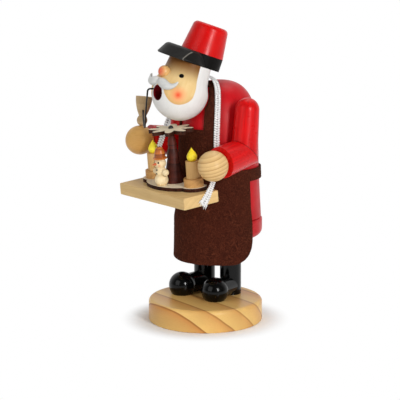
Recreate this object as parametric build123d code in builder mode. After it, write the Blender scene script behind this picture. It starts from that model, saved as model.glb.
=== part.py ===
# Turned wooden incense smoker: a hunched toy seller with pipe, apron and vendor's tray.
# Millimetres, +Z up. The figure faces -Y, its left hand is at +X.
# The origin is the middle of the base's underside.
import os
from math import cos, radians, sin, sqrt, tan

from build123d import *

os.makedirs("parts", exist_ok=True)

# Base disc
base_radius = 36.6
base_thickness = 14.1
base_top_round = 2.6
base_bottom_round = 0.8

# Legs and shoes
leg_radius = 6.9
leg_length = 37.4
leg_spread = 10.6
leg_forward = 2.0
stance_turn_angle = 14.7
tenon_radius = 3.5
tenon_length = 6.0
toe_radius = 8.7
toe_center_height = 5.9
toe_reach = 20.8
toe_splay_angle = 7.2
shoe_neck_radius = 6.6

# Coat hem, the fixed lower part that the hollow coat sits on
figure_x = -8.6
coat_axis_y = 18.4
hem_radius = 27.9
hem_height = 12.2
hem_lower_round = 5.0
hem_upper_round = 1.4
spigot_height = 5.0
spigot_clearance = 0.25

# Incense plate on the spigot
plate_radius = 13.0
plate_sheet = 0.6
plate_rim_height = 2.4
nail_head_radius = 2.2
nail_head_height = 0.8
nail_shank_radius = 0.8
nail_length = 8.0
nail_hole_spare = 1.0

# Hollow coat, heights measured up from its seam with the hem
coat_seam_radius = 27.2
coat_seam_bevel = 0.7
coat_waist_radius = 25.7
coat_waist_height = 26.3
coat_chest_radius = 24.7
coat_chest_height = 56.7
coat_dome_radius = 18.9
coat_dome_height = 80.0
coat_height = 89.1
chamber_radius = 17.0
chamber_roof = 7.0

# Felt apron and its tie
felt_thickness = 1.2
glue_gap = 0.15
hem_running_gap = 0.35
apron_flare = 0.1
skirt_break_height = 9.0
apron_drop = 26.3
apron_corner_radius = 15.0
apron_half_angle = 97.0
apron_waist_height = 33.9
tie_width = 7.6
bib_height = 59.7
bib_half_angle = 47.0
neck_strap_inner_angle = 28.0
neck_loop_radius = 14.0
neck_loop_width = 5.5
head_felt_gap = 0.4

# Head, turned about an axis that leans back
head_forward = 13.1
head_raise = 3.5
head_lean_angle = 25.0
head_radius = 18.0
temple_radius = 15.9
temple_height = 7.3
head_top_radius = 13.5
head_top_height = 22.0
head_seat_depth = 13.2
head_dowel_raise = 2.6
seat_margin = 1.3
mouth_radius = 4.4
mouth_depth = 9.0
mouth_drop = 6.4
smoke_bore_radius = 2.6
nose_radius = 3.85
nose_reach = 16.8
nose_peg_radius = 1.8
nose_peg_length = 5.0
moustache_half_width = 14.6
moustache_radius = 3.0
moustache_front = 17.8
moustache_tip_setback = 2.6
moustache_roll_angle = -6.0

# Hat
hat_rise = 21.1
hat_setback = 8.2
hat_shift = -2.4
hat_lean_angle = 18.0
hat_roll_angle = 8.0
hat_band_radius = 13.8
hat_band_height = 8.0
crown_top_radius = 11.1
crown_height = 18.6
crown_round = 3.0
visor_lower_radius = 16.5
visor_upper_radius = 12.0
visor_forward = 14.0
visor_upper_round = 3.5
visor_lower_round = 0.8

# Dowels that join the turned pieces
dowel_radius = 2.5
dowel_length = 12.0
dowel_clearance = 0.04
small_dowel_radius = 1.8
small_dowel_length = 9.0
cut_margin = 1.0

# Arms and hands, heights up from the coat seam
arm_standoff = 6.5
elbow_y = 12.3
elbow_height = 46.6
elbow_radius = 9.3
shoulder_radius = 7.6
upper_arm_radius = 8.6
upper_arm_length = 34.4
upper_arm_lean_angle = 5.0
cuff_radius = 10.0
hand_radius = 9.5
hand_spread = 38.1
hand_y = -17.4
left_hand_height = 41.8
right_hand_height = 48.8
cuff_to_hand = 7.6
shoulder_dowel_height = 62.8
shoulder_dowel_inset = 1.0
wrist_dowel_inset = 1.0

# Pipe
pipe_ball_radius = 3.4
pipe_ball_lift = 12.3
pipe_setback = 1.8
pipe_lean_angle = 7.0
pipe_waist_radius = 2.3
pipe_waist_height = 3.4
pipe_bowl_radius = 5.4
pipe_bowl_height = 16.0
pipe_dish_radius = 4.3
pipe_dish_depth = 3.0
pipe_peg_radius = 1.4
pipe_peg_length = 5.0
pipe_stem_radius = 0.55

# Vendor's tray, its top height measured up from the coat seam at the tray's middle
tray_width = 68.0
tray_depth = 26.9
tray_thickness = 7.5
tray_top_height = 24.3
tray_tilt_angle = 4.9
tray_edge_round = 0.6
tray_back_gap = 0.2
tray_dowel_spread = 6.0
strap_radius = 0.8
arc_share = 0.45

# Small pyramid on the tray, places measured from the tray's middle
cloud_thickness = 2.3
cloud_lobe_radius = 8.0
cloud_middle_width = 44.0
cloud_middle_depth = 30.0
cloud_middle_y = 5.5
cloud_back_y = 12.0
candle_spread = 20.2
candle_y = 5.4
holder_radius = 6.15
holder_height = 5.0
candle_radius = 4.3
candle_height = 11.0
flame_radius = 3.3
flame_height = 8.5
flame_peg_radius = 0.9
flame_peg_length = 2.5
tree_x = 0.9
tree_y = 5.1
tree_radius = 6.4
tree_tiers = 4
tree_tier_step = 1.15
tree_tier_undercut = 1.7
tree_top_radius = 1.6
rotor_chin_gap = 3.55
rotor_radius = 14.3
rotor_thickness = 2.4
rotor_petals = 8
rotor_petal_root = 2.0
rotor_petal_half_width = 2.75
rotor_hub_radius = 4.2
rotor_end_play = 0.2
pin_radius = 0.9
pin_running_clearance = 0.05
pin_depth = 9.0
pin_head_radius = 1.7

# Snowman on the pyramid plate
snowman_x = 1.2
snowman_y = -5.3
snow_base_radius = 4.3
snow_chest_radius = 3.6
snow_head_radius = 3.7
snow_hat_brim_radius = 4.4
snow_brim_thickness = 0.7
snow_hat_height = 7.6
snow_arm_radius = 2.2
snow_nose_radius = 0.9
snow_nose_length = 2.8
snow_nose_taper_angle = 15.0

# Heights that follow from the stack of pieces
hem_bottom_z = base_thickness + leg_length
seam_z = hem_bottom_z + hem_height
coat_spine = Plane((figure_x, coat_axis_y, seam_z))
chamber_depth = coat_dome_height - chamber_roof

head_z_dir = (0, sin(radians(head_lean_angle)), cos(radians(head_lean_angle)))
head_center = (
    figure_x,
    coat_axis_y - coat_dome_radius - head_forward,
    seam_z + coat_dome_height + head_raise,
)
head_spine = Plane(origin=head_center, x_dir=(1, 0, 0), z_dir=head_z_dir)
hat_lean = radians(hat_lean_angle)
hat_roll = radians(hat_roll_angle)
hat_spine = Plane(
    origin=head_spine.from_local_coords((hat_shift, hat_setback, hat_rise)),
    x_dir=(cos(hat_roll), -sin(hat_roll) * sin(hat_lean), -sin(hat_roll) * cos(hat_lean)),
    z_dir=(sin(hat_roll), cos(hat_roll) * sin(hat_lean), cos(hat_roll) * cos(hat_lean)),
)


def coat_side_radius(height):
    """The coat's radius below its waist, at a height above the seam."""
    return coat_seam_radius + (coat_waist_radius - coat_seam_radius) * height / coat_waist_height


tray_tilt = radians(tray_tilt_angle)
belly_y = coat_axis_y - coat_side_radius(tray_top_height - tray_thickness) - glue_gap - felt_thickness
tray_back_y = belly_y - tray_back_gap - tray_thickness * sin(tray_tilt)
tray_spine = Plane(
    origin=(figure_x, tray_back_y - tray_depth / 2 * cos(tray_tilt), seam_z + tray_top_height),
    x_dir=(1, 0, 0),
    z_dir=(0, -sin(tray_tilt), cos(tray_tilt)),
)
pyramid_spine = tray_spine.offset(cloud_thickness)
left_hand_center = Vector(figure_x + hand_spread, hand_y, seam_z + left_hand_height)
right_hand_center = Vector(figure_x - hand_spread, hand_y, seam_z + right_hand_height)


def lathe_plane(spine):
    """The plane to draw a turned piece's half outline in: radius across, height up."""
    return Plane(origin=spine.origin, x_dir=spine.x_dir, z_dir=-spine.y_dir)


def standing_at(spine, x, y, z=0.0):
    """A copy of a spine plane moved to a place in its own coordinates."""
    return Plane(
        origin=spine.from_local_coords((x, y, z)), x_dir=spine.x_dir, z_dir=spine.z_dir
    )


def cylinder_between(start, end, radius):
    """A plain cylinder from one point to another, kept outside any open builder."""
    axis = Vector(*end) - Vector(*start)
    place = Plane(origin=start, z_dir=axis)
    return place * Solid.make_cylinder(radius, axis.length)


def coat_outline(grow):
    """Draw the coat's half outline, moved outward by grow, closed along its axis."""
    seam = (coat_seam_radius + grow, 0)
    waist = (coat_waist_radius + grow, coat_waist_height)
    chest = (coat_chest_radius + grow, coat_chest_height)
    dome = (coat_dome_radius + 0.72 * grow, coat_dome_height + 0.70 * grow)
    top = (0, coat_height + grow)
    Line((0, 0), seam)
    Line(seam, waist)
    rise = (coat_waist_radius - coat_seam_radius, coat_waist_height)
    Spline(waist, chest, dome, top, tangents=(rise, (-1, 0)))
    Line(top, (0, 0))


def write(piece, label):
    """Name a finished piece and save it."""
    piece.part.label = label
    export_step(piece.part, "parts/" + label + ".step")


# The plain coat shape, used to fit the arms to the coat's side
with BuildPart() as coat_envelope:
    with BuildSketch(lathe_plane(coat_spine)):
        with BuildLine():
            coat_outline(glue_gap)
        make_face()
    revolve(axis=Axis(coat_spine.origin, (0, 0, 1)))

# The stance: the legs stand under the coat, turned a little from the way the figure faces
stance_spine = Plane((figure_x, coat_axis_y, base_thickness)).rotated((0, 0, stance_turn_angle))
leg_places = [(leg_spread, -leg_forward), (-leg_spread, -leg_forward)]

# Base disc with two sockets for the legs
with BuildPart() as base_disc:
    with BuildSketch():
        Circle(base_radius)
    extrude(amount=base_thickness)
    fillet(base_disc.edges().group_by(Axis.Z)[-1], base_top_round)
    fillet(base_disc.edges().group_by(Axis.Z)[0], base_bottom_round)
    with BuildSketch(stance_spine):
        with Locations(*leg_places):
            Circle(tenon_radius + dowel_clearance)
    extrude(amount=-(tenon_length + dowel_clearance), mode=Mode.SUBTRACT)
write(base_disc, "base_disc")

# Legs, each with a tenon at both ends, and shoes turned as a ball toe on a narrow neck
for side, name in ((1, "left"), (-1, "right")):
    leg_foot = standing_at(stance_spine, side * leg_spread, -leg_forward)
    with BuildPart() as leg:
        with BuildSketch(leg_foot):
            Circle(leg_radius)
        extrude(amount=leg_length)
        with BuildSketch(leg_foot.offset(-tenon_length)):
            Circle(tenon_radius)
        extrude(amount=leg_length + 2 * tenon_length)
    write(leg, name + "_leg")

    toe_heading = radians(stance_turn_angle - 90 + side * toe_splay_angle)
    toe_direction = Vector(cos(toe_heading), sin(toe_heading), 0)
    shoe_axis_start = leg_foot.from_local_coords((0, 0, toe_center_height))
    shoe_spine = Plane(origin=shoe_axis_start, x_dir=(0, 0, 1), z_dir=toe_direction)
    neck_end = toe_reach - 0.5 * toe_radius
    with BuildPart() as shoe:
        with BuildSketch(shoe_spine):
            Circle(shoe_neck_radius)
        extrude(amount=neck_end)
        with Locations(shoe_spine.offset(toe_reach).location):
            Sphere(toe_radius)
        sole = Plane.XY.offset(base_thickness)
        split(bisect_by=sole, keep=Keep.TOP)
        with BuildSketch(leg_foot.offset(-cut_margin)):
            Circle(leg_radius + dowel_clearance)
        extrude(amount=leg_length, mode=Mode.SUBTRACT)
    write(shoe, name + "_shoe")

# Coat hem with the spigot that the hollow coat slips over
spigot_radius = chamber_radius - spigot_clearance
hem_spine = stance_spine.offset(leg_length)
with BuildPart() as coat_hem:
    with BuildSketch(hem_spine):
        Circle(hem_radius)
    extrude(amount=hem_height)
    fillet(coat_hem.edges().group_by(Axis.Z)[0], hem_lower_round)
    fillet(coat_hem.edges().group_by(Axis.Z)[-1], hem_upper_round)
    with BuildSketch(coat_spine):
        Circle(spigot_radius)
    extrude(amount=spigot_height)
    with BuildSketch(hem_spine):
        with Locations(*leg_places):
            Circle(tenon_radius + dowel_clearance)
    extrude(amount=tenon_length + dowel_clearance, mode=Mode.SUBTRACT)
    with BuildSketch(coat_spine.offset(spigot_height)):
        Circle(nail_shank_radius + dowel_clearance)
    extrude(amount=-(nail_length + nail_hole_spare), mode=Mode.SUBTRACT)
write(coat_hem, "coat_hem")

# Pressed metal plate that the incense cone stands on, held by one nail
plate_spine = coat_spine.offset(spigot_height)
with BuildPart() as incense_plate:
    with BuildSketch(plate_spine):
        Circle(plate_radius)
    extrude(amount=plate_rim_height)
    with BuildSketch(plate_spine.offset(plate_sheet)):
        Circle(plate_radius - plate_sheet)
    extrude(amount=plate_rim_height, mode=Mode.SUBTRACT)
    with BuildSketch(plate_spine):
        Circle(nail_shank_radius + dowel_clearance)
    extrude(amount=plate_sheet, mode=Mode.SUBTRACT)
write(incense_plate, "incense_plate")

with BuildPart() as plate_nail:
    with BuildSketch(plate_spine.offset(plate_sheet)):
        Circle(nail_head_radius)
    extrude(amount=nail_head_height)
    with BuildSketch(plate_spine.offset(plate_sheet)):
        Circle(nail_shank_radius)
    extrude(amount=-nail_length)
write(plate_nail, "plate_nail")

# Dowel places that several pieces share
shoulder_z = seam_z + shoulder_dowel_height
shoulder_y = elbow_y + (shoulder_dowel_height - elbow_height) * tan(radians(upper_arm_lean_angle))
shoulder_reach = coat_chest_radius + arm_standoff - shoulder_dowel_inset
head_dowel_in = head_seat_depth - dowel_length / 2
head_dowel_out = head_seat_depth + dowel_length / 2
head_dowel_start = head_spine.from_local_coords((0, head_dowel_in, head_dowel_raise))
head_dowel_end = head_spine.from_local_coords((0, head_dowel_out, head_dowel_raise))
tray_dowel_z = -tray_thickness / 2
tray_dowel_from = tray_depth / 2 - small_dowel_length
tray_dowel_to = tray_depth / 2 + small_dowel_length
smoke_start = head_spine.from_local_coords((0, -head_radius, -mouth_drop))
smoke_end = head_spine.from_local_coords((0, head_seat_depth + chamber_radius / 2, -mouth_drop))


def shoulder_dowel(side, spare):
    """The dowel from the coat's wall into an upper arm, grown by spare."""
    inner = (figure_x + side * (shoulder_reach - dowel_length), shoulder_y, shoulder_z)
    outer = (figure_x + side * shoulder_reach, shoulder_y, shoulder_z)
    return cylinder_between(inner, outer, dowel_radius + spare)


def tray_dowel(side, spare):
    """The dowel from the tray's back edge through the apron into the coat, grown by spare."""
    x = side * tray_dowel_spread
    start = tray_spine.from_local_coords((x, tray_dowel_from, tray_dowel_z))
    end = tray_spine.from_local_coords((x, tray_dowel_to, tray_dowel_z))
    return cylinder_between(start, end, small_dowel_radius + spare)


head_dowel_hole = cylinder_between(head_dowel_start, head_dowel_end, dowel_radius + dowel_clearance)
smoke_bore = cylinder_between(smoke_start, smoke_end, smoke_bore_radius)

# Hollow coat: the smoke chamber, the head's flat seat, the smoke bore and the dowel holes
seat_radius = sqrt(head_radius**2 - head_seat_depth**2) + seat_margin
seat_start = head_spine.from_local_coords((0, head_seat_depth, 0))
seat_end = head_spine.from_local_coords((0, -head_radius, 0))
with BuildPart() as coat_body:
    with BuildSketch(lathe_plane(coat_spine)):
        with BuildLine():
            coat_outline(0)
        make_face()
    revolve(axis=Axis(coat_spine.origin, (0, 0, 1)))
    chamfer(coat_body.edges().group_by(Axis.Z)[0], coat_seam_bevel)
    with BuildSketch(coat_spine):
        Circle(chamber_radius)
    extrude(amount=chamber_depth, mode=Mode.SUBTRACT)
    add(cylinder_between(seat_start, seat_end, seat_radius), mode=Mode.SUBTRACT)
    add(smoke_bore, mode=Mode.SUBTRACT)
    add(head_dowel_hole, mode=Mode.SUBTRACT)
    for side in (1, -1):
        add(shoulder_dowel(side, dowel_clearance), mode=Mode.SUBTRACT)
        add(tray_dowel(side, dowel_clearance), mode=Mode.SUBTRACT)
write(coat_body, "coat_body")


def felt_start(angle):
    """The plane that a felt sweep starts in, at an angle round from the figure's front."""
    return lathe_plane(coat_spine.rotated((0, 0, angle - 90)))


def felt_section(start_angle, low, high, inner=0.0, outer=2 * coat_seam_radius):
    """The felt's section over the coat, between two heights above the seam and two radii."""
    with BuildSketch(felt_start(start_angle)) as section:
        with BuildLine():
            coat_outline(glue_gap + felt_thickness)
        make_face()
        with BuildLine():
            coat_outline(glue_gap)
        make_face(mode=Mode.SUBTRACT)
        with Locations(((inner + outer) / 2, (low + high) / 2)):
            Rectangle(outer - inner, high - low, mode=Mode.INTERSECT)
    return section.sketch


def apron_side_plane(side):
    """The plane through the coat's axis that looks out along one side edge of the apron."""
    turn = radians(side * apron_half_angle)
    return Plane(
        origin=coat_spine.from_local_coords((0, 0, -apron_drop)),
        x_dir=(0, 0, 1),
        z_dir=(sin(turn), -cos(turn), 0),
    )


# Felt apron: skirt, bib, two neck straps and the loop behind the head
felt_inner = glue_gap
felt_outer = glue_gap + felt_thickness
break_radius = coat_side_radius(skirt_break_height)
skirt_radius = hem_radius + hem_running_gap
coat_axis = Axis(coat_spine.origin, (0, 0, 1))
loop_inner = neck_loop_radius - neck_loop_width
felt_top = coat_height + 2 * felt_outer
with BuildPart() as apron:
    with BuildSketch(felt_start(-apron_half_angle)):
        with BuildLine():
            Polyline(
                (coat_waist_radius + felt_inner, coat_waist_height),
                (break_radius + felt_inner, skirt_break_height),
                (skirt_radius, 0),
                (skirt_radius + apron_flare, -apron_drop),
                (skirt_radius + apron_flare + felt_thickness, -apron_drop),
                (skirt_radius + felt_thickness, 0),
                (break_radius + felt_outer, skirt_break_height),
                (coat_waist_radius + felt_outer, coat_waist_height),
                close=True,
            )
        make_face()
    revolve(axis=coat_axis, revolution_arc=2 * apron_half_angle)
    for side in (1, -1):
        with BuildSketch(apron_side_plane(side)):
            with Locations((apron_corner_radius / 2, side * apron_corner_radius / 2)):
                Rectangle(apron_corner_radius, apron_corner_radius)
            with Locations((apron_corner_radius, side * apron_corner_radius)):
                Circle(apron_corner_radius, mode=Mode.SUBTRACT)
        extrude(amount=2 * hem_radius, mode=Mode.SUBTRACT)
    waist_section = felt_section(-apron_half_angle, coat_waist_height, apron_waist_height)
    revolve(waist_section, axis=coat_axis, revolution_arc=2 * apron_half_angle)
    bib_section = felt_section(-bib_half_angle, apron_waist_height, bib_height)
    revolve(bib_section, axis=coat_axis, revolution_arc=2 * bib_half_angle)
    for start_angle in (-bib_half_angle, neck_strap_inner_angle):
        strap_section = felt_section(start_angle, bib_height, felt_top, inner=loop_inner)
        revolve(
            strap_section, axis=coat_axis, revolution_arc=bib_half_angle - neck_strap_inner_angle
        )
    loop_section = felt_section(-bib_half_angle, bib_height, felt_top, loop_inner, neck_loop_radius)
    revolve(loop_section, axis=coat_axis, revolution_arc=2 * bib_half_angle)
    with Locations(head_spine.location):
        Sphere(head_radius + head_felt_gap, mode=Mode.SUBTRACT)
    for side in (1, -1):
        add(tray_dowel(side, dowel_clearance), mode=Mode.SUBTRACT)
write(apron, "apron")

# Felt tie round the back, end to end with the apron's sides
with BuildPart() as apron_tie:
    tie_section = felt_section(
        apron_half_angle, apron_waist_height - tie_width, apron_waist_height
    )
    revolve(tie_section, axis=coat_axis, revolution_arc=360 - 2 * apron_half_angle)
write(apron_tie, "apron_tie")

# The pipe's axis, from a peg in the right hand up through the bowl
pipe_lean = radians(pipe_lean_angle)
pipe_spine = Plane(
    origin=right_hand_center + Vector(0, pipe_setback, pipe_ball_lift),
    x_dir=(1, 0, 0),
    z_dir=(0, sin(pipe_lean), cos(pipe_lean)),
)
pipe_peg_end = pipe_spine.from_local_coords((0, 0, hand_radius - pipe_ball_lift - pipe_peg_length))

# Arms: a domed upper arm and a flared forearm that meet in a mitre, and a ball hand
elbow_x = coat_waist_radius + arm_standoff
upper_direction = Vector(
    0, sin(radians(upper_arm_lean_angle)), cos(radians(upper_arm_lean_angle))
)
wrist_places = []
for side, name, hand_center in (
    (1, "left", left_hand_center),
    (-1, "right", right_hand_center),
):
    elbow = Vector(figure_x + side * elbow_x, elbow_y, seam_z + elbow_height)
    reach = hand_center - elbow
    fore_direction = reach.normalized()
    mitre = Plane(origin=elbow, z_dir=upper_direction - fore_direction)
    upper_spine = Plane(origin=elbow, x_dir=(1, 0, 0), z_dir=upper_direction)
    fore_spine = Plane(origin=elbow, z_dir=fore_direction)
    cuff_distance = reach.length - cuff_to_hand
    overrun = 2 * elbow_radius
    dome_start = upper_arm_length - shoulder_radius
    wrist_middle = hand_center - fore_direction * (hand_radius - wrist_dowel_inset)
    wrist_inner = wrist_middle - fore_direction * small_dowel_length / 2
    wrist_outer = wrist_middle + fore_direction * small_dowel_length / 2
    wrist_places.append((wrist_inner, wrist_outer))

    with BuildPart() as upper_arm:
        with BuildSketch(lathe_plane(upper_spine)):
            with BuildLine():
                Polyline(
                    (0, dome_start + shoulder_radius),
                    (0, -overrun),
                    (upper_arm_radius, -overrun),
                    (upper_arm_radius, 0),
                    (shoulder_radius, dome_start),
                )
                RadiusArc(
                    (shoulder_radius, dome_start),
                    (0, dome_start + shoulder_radius),
                    -shoulder_radius,
                )
            make_face()
        revolve(axis=Axis(elbow, upper_direction))
        split(bisect_by=mitre, keep=Keep.TOP)
        add(coat_envelope.part, mode=Mode.SUBTRACT)
        add(shoulder_dowel(side, dowel_clearance), mode=Mode.SUBTRACT)
    write(upper_arm, name + "_upper_arm")

    with BuildPart() as forearm:
        with BuildSketch(lathe_plane(fore_spine)):
            with BuildLine():
                Polyline(
                    (0, -overrun),
                    (elbow_radius, -overrun),
                    (elbow_radius, 0),
                    (cuff_radius, cuff_distance),
                    (0, cuff_distance),
                    close=True,
                )
            make_face()
        revolve(axis=Axis(elbow, fore_direction))
        split(bisect_by=mitre, keep=Keep.BOTTOM)
        add(coat_envelope.part, mode=Mode.SUBTRACT)
        with Locations(hand_center):
            Sphere(hand_radius + dowel_clearance, mode=Mode.SUBTRACT)
        add(
            cylinder_between(wrist_inner, wrist_outer, small_dowel_radius + dowel_clearance),
            mode=Mode.SUBTRACT,
        )
    write(forearm, name + "_forearm")

    with BuildPart() as hand:
        with Locations(hand_center):
            Sphere(hand_radius)
        add(
            cylinder_between(wrist_inner, wrist_outer, small_dowel_radius + dowel_clearance),
            mode=Mode.SUBTRACT,
        )
        if side < 0:
            add(
                cylinder_between(pipe_peg_end, pipe_spine.origin, pipe_peg_radius + dowel_clearance),
                mode=Mode.SUBTRACT,
            )
    write(hand, name + "_hand")

with BuildPart() as shoulder_dowels:
    for side in (1, -1):
        add(shoulder_dowel(side, 0))
write(shoulder_dowels, "shoulder_dowels")

with BuildPart() as wrist_dowels:
    for wrist_inner, wrist_outer in wrist_places:
        add(cylinder_between(wrist_inner, wrist_outer, small_dowel_radius))
write(wrist_dowels, "wrist_dowels")

# Head: a round jaw that narrows to the hat, with the mouth and the smoke bore
nose_start = head_spine.from_local_coords((0, -nose_reach, temple_height))
nose_spine = Plane(origin=nose_start, x_dir=(1, 0, 0), z_dir=head_spine.y_dir)
nose_depth = nose_reach - temple_radius + nose_peg_length
hat_dowel_start = hat_spine.from_local_coords((0, -hat_setback / 2, -dowel_length / 2))
hat_dowel_end = hat_spine.from_local_coords((0, -hat_setback / 2, dowel_length / 2))
mouth_start = head_spine.from_local_coords((0, -head_radius - cut_margin, -mouth_drop))
mouth_end = head_spine.from_local_coords((0, -head_radius + mouth_depth, -mouth_drop))
hat_dowel_hole = cylinder_between(hat_dowel_start, hat_dowel_end, dowel_radius + dowel_clearance)


def head_outline():
    """Draw the head's half outline, closed along its axis."""
    crown = (head_top_radius, head_top_height)
    RadiusArc((0, -head_radius), (head_radius, 0), -head_radius)
    Spline(
        (head_radius, 0), (temple_radius, temple_height), crown, tangents=((0, 1), (-0.08, 1))
    )
    Polyline(crown, (0, head_top_height), (0, -head_radius))


with BuildPart() as head:
    with BuildSketch(lathe_plane(head_spine)):
        with BuildLine():
            head_outline()
        make_face()
    revolve(axis=Axis(head_spine.origin, head_spine.z_dir))
    seat = Plane(origin=seat_start, z_dir=head_spine.y_dir)
    split(bisect_by=seat, keep=Keep.BOTTOM)
    split(bisect_by=hat_spine, keep=Keep.BOTTOM)
    add(cylinder_between(mouth_start, mouth_end, mouth_radius), mode=Mode.SUBTRACT)
    add(smoke_bore, mode=Mode.SUBTRACT)
    add(head_dowel_hole, mode=Mode.SUBTRACT)
    add(hat_dowel_hole, mode=Mode.SUBTRACT)
    with BuildSketch(nose_spine):
        Circle(nose_peg_radius + dowel_clearance)
    extrude(amount=nose_depth + dowel_clearance, mode=Mode.SUBTRACT)
write(head, "head")

with BuildPart() as head_dowel:
    add(cylinder_between(head_dowel_start, head_dowel_end, dowel_radius))
write(head_dowel, "head_dowel")

with BuildPart() as hat_dowel:
    add(cylinder_between(hat_dowel_start, hat_dowel_end, dowel_radius))
write(hat_dowel, "hat_dowel")

# The head's plain turned shape, used to fit the nose and the moustache to the face
with BuildPart() as head_envelope:
    with BuildSketch(lathe_plane(head_spine)):
        with BuildLine():
            head_outline()
        make_face()
    revolve(axis=Axis(head_spine.origin, head_spine.z_dir))
    offset(amount=dowel_clearance)

with BuildPart() as nose:
    with Locations(nose_spine.location):
        Sphere(nose_radius)
    add(head_envelope.part, mode=Mode.SUBTRACT)
    with BuildSketch(nose_spine):
        Circle(nose_peg_radius)
    extrude(amount=nose_depth)
write(nose, "nose")

# Moustache: two swelling halves with raised tips, hollowed to the face
moustache_roll = radians(moustache_roll_angle)
moustache_plane = Plane(
    origin=head_spine.from_local_coords((0, -moustache_front, 0)),
    x_dir=head_spine.x_dir * cos(moustache_roll) + head_spine.z_dir * sin(moustache_roll),
    z_dir=-head_spine.y_dir,
)
# Stations from the middle to a tip: shares of the half width and the setback, height, slope, radius
moustache_stations = (
    (0.00, 0.00, 0.8, -12, 0.60 * moustache_radius),
    (0.30, 0.05, 0.0, -8, moustache_radius),
    (0.62, 0.30, -0.6, 8, 0.80 * moustache_radius),
    (0.88, 0.75, 0.9, 42, 0.45 * moustache_radius),
    (1.00, 1.00, 3.8, 66, 0.18 * moustache_radius),
)
with BuildPart() as moustache:
    for share, back, height, slope, radius in moustache_stations:
        heading = radians(slope)
        place = moustache_plane.from_local_coords(
            (share * moustache_half_width, height, -back * moustache_tip_setback)
        )
        ahead = moustache_plane.x_dir * cos(heading) + moustache_plane.y_dir * sin(heading)
        with BuildSketch(Plane(origin=place, x_dir=moustache_plane.z_dir, z_dir=ahead)):
            Circle(radius)
    loft()
    mirror(about=Plane(origin=moustache_plane.origin, z_dir=moustache_plane.x_dir))
    add(head_envelope.part, mode=Mode.SUBTRACT)
    with Locations(nose_spine.location):
        Sphere(nose_radius + dowel_clearance, mode=Mode.SUBTRACT)
write(moustache, "moustache")

# Hat: a black band on the head, a tapered crown on the band and a visor at its front
hat_axis = Axis(hat_spine.origin, hat_spine.z_dir)
with BuildPart() as hat_band:
    with BuildSketch(hat_spine):
        Circle(hat_band_radius)
    extrude(amount=hat_band_height)
    add(hat_dowel_hole, mode=Mode.SUBTRACT)
write(hat_band, "hat_band")

crown_spine = hat_spine.offset(hat_band_height)
with BuildPart() as hat_crown:
    with BuildSketch(crown_spine):
        Circle(hat_band_radius)
    with BuildSketch(crown_spine.offset(crown_height)):
        Circle(crown_top_radius)
    loft()
    fillet(hat_crown.faces().sort_by(hat_axis)[-1].edges(), crown_round)
write(hat_crown, "hat_crown")

visor_spine = standing_at(hat_spine, 0, -visor_forward)
with BuildPart() as hat_visor:
    with BuildSketch(lathe_plane(visor_spine)) as visor_section:
        with BuildLine():
            lower_edge = (visor_lower_radius, 0)
            upper_edge = (visor_upper_radius, hat_band_height)
            Polyline((0, 0), lower_edge, upper_edge, (0, hat_band_height), close=True)
        make_face()
        rim_corners = visor_section.vertices().group_by(Axis.X)
        fillet(rim_corners[-1], visor_lower_round)
        fillet(visor_section.vertices().sort_by_distance(upper_edge)[0], visor_upper_round)
    revolve(axis=Axis(visor_spine.origin, visor_spine.z_dir))
    with BuildSketch(hat_spine.offset(-cut_margin)):
        Circle(hat_band_radius + dowel_clearance)
    extrude(amount=hat_band_height + 2 * cut_margin, mode=Mode.SUBTRACT)
    split(bisect_by=Plane(origin=hat_spine.origin, z_dir=-hat_spine.y_dir), keep=Keep.TOP)
write(hat_visor, "hat_visor")

# Pipe: a turned bowl on the right hand and a bent wire stem up to the mouth
stem_at_bowl = [(0.5, -0.6, 10.0), (6.7, -4.3, 3.0), (16.8, -9.5, -5.0)]
stem_at_mouth = [(-11.1, -11.9, -18.3), (-3.6, -21.6, -6.4), (-3.2, -18.0, -4.9)]
stem_points = [pipe_spine.from_local_coords(place) for place in stem_at_bowl]
stem_points += [head_spine.from_local_coords(place) for place in stem_at_mouth]
with BuildPart() as pipe_bowl:
    with BuildSketch(lathe_plane(pipe_spine)):
        with BuildLine():
            waist = (pipe_waist_radius, pipe_waist_height)
            rim = (pipe_bowl_radius, pipe_bowl_height)
            dish = (pipe_dish_radius, pipe_bowl_height)
            ThreePointArc((0, -pipe_ball_radius), (pipe_ball_radius, 0), waist)
            Spline(waist, (0.85 * pipe_bowl_radius, 0.6 * pipe_bowl_height), rim)
            Polyline(rim, dish, (0, pipe_bowl_height - pipe_dish_depth), (0, -pipe_ball_radius))
        make_face()
    revolve(axis=Axis(pipe_spine.origin, pipe_spine.z_dir))
    with Locations(right_hand_center):
        Sphere(hand_radius + dowel_clearance, mode=Mode.SUBTRACT)
    add(cylinder_between(pipe_peg_end, pipe_spine.origin, pipe_peg_radius))
    add(
        cylinder_between(stem_points[0], stem_points[1], pipe_stem_radius + dowel_clearance),
        mode=Mode.SUBTRACT,
    )
write(pipe_bowl, "pipe_bowl")


def arc_setback(run_in, run_out):
    """How far from a corner its arc begins and ends."""
    return arc_share * min(run_in.length, run_out.length)


def arc_radii(points):
    """The radius of the arc at each corner of a route."""
    radii = []
    for before, corner, after in zip(points, points[1:], points[2:]):
        run_in = corner - before
        run_out = after - corner
        half_turn = radians(run_in.get_angle(run_out)) / 2
        radii.append(arc_setback(run_in, run_out) / tan(half_turn))
    return radii


def tangent_arcs(points):
    """Draw straight runs through the points, joined by arcs as large as the runs allow."""
    start = points[0]
    for before, corner, after in zip(points, points[1:], points[2:]):
        run_in = corner - before
        run_out = after - corner
        setback = arc_setback(run_in, run_out)
        arc_start = corner - run_in.normalized() * setback
        arc_end = corner + run_out.normalized() * setback
        Line(start, arc_start)
        TangentArc(arc_start, arc_end, tangent=run_in)
        start = arc_end
    Line(start, points[-1])


def section_plane(points):
    """The plane across the start of a route."""
    return Plane(origin=points[0], z_dir=points[1] - points[0])


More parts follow.
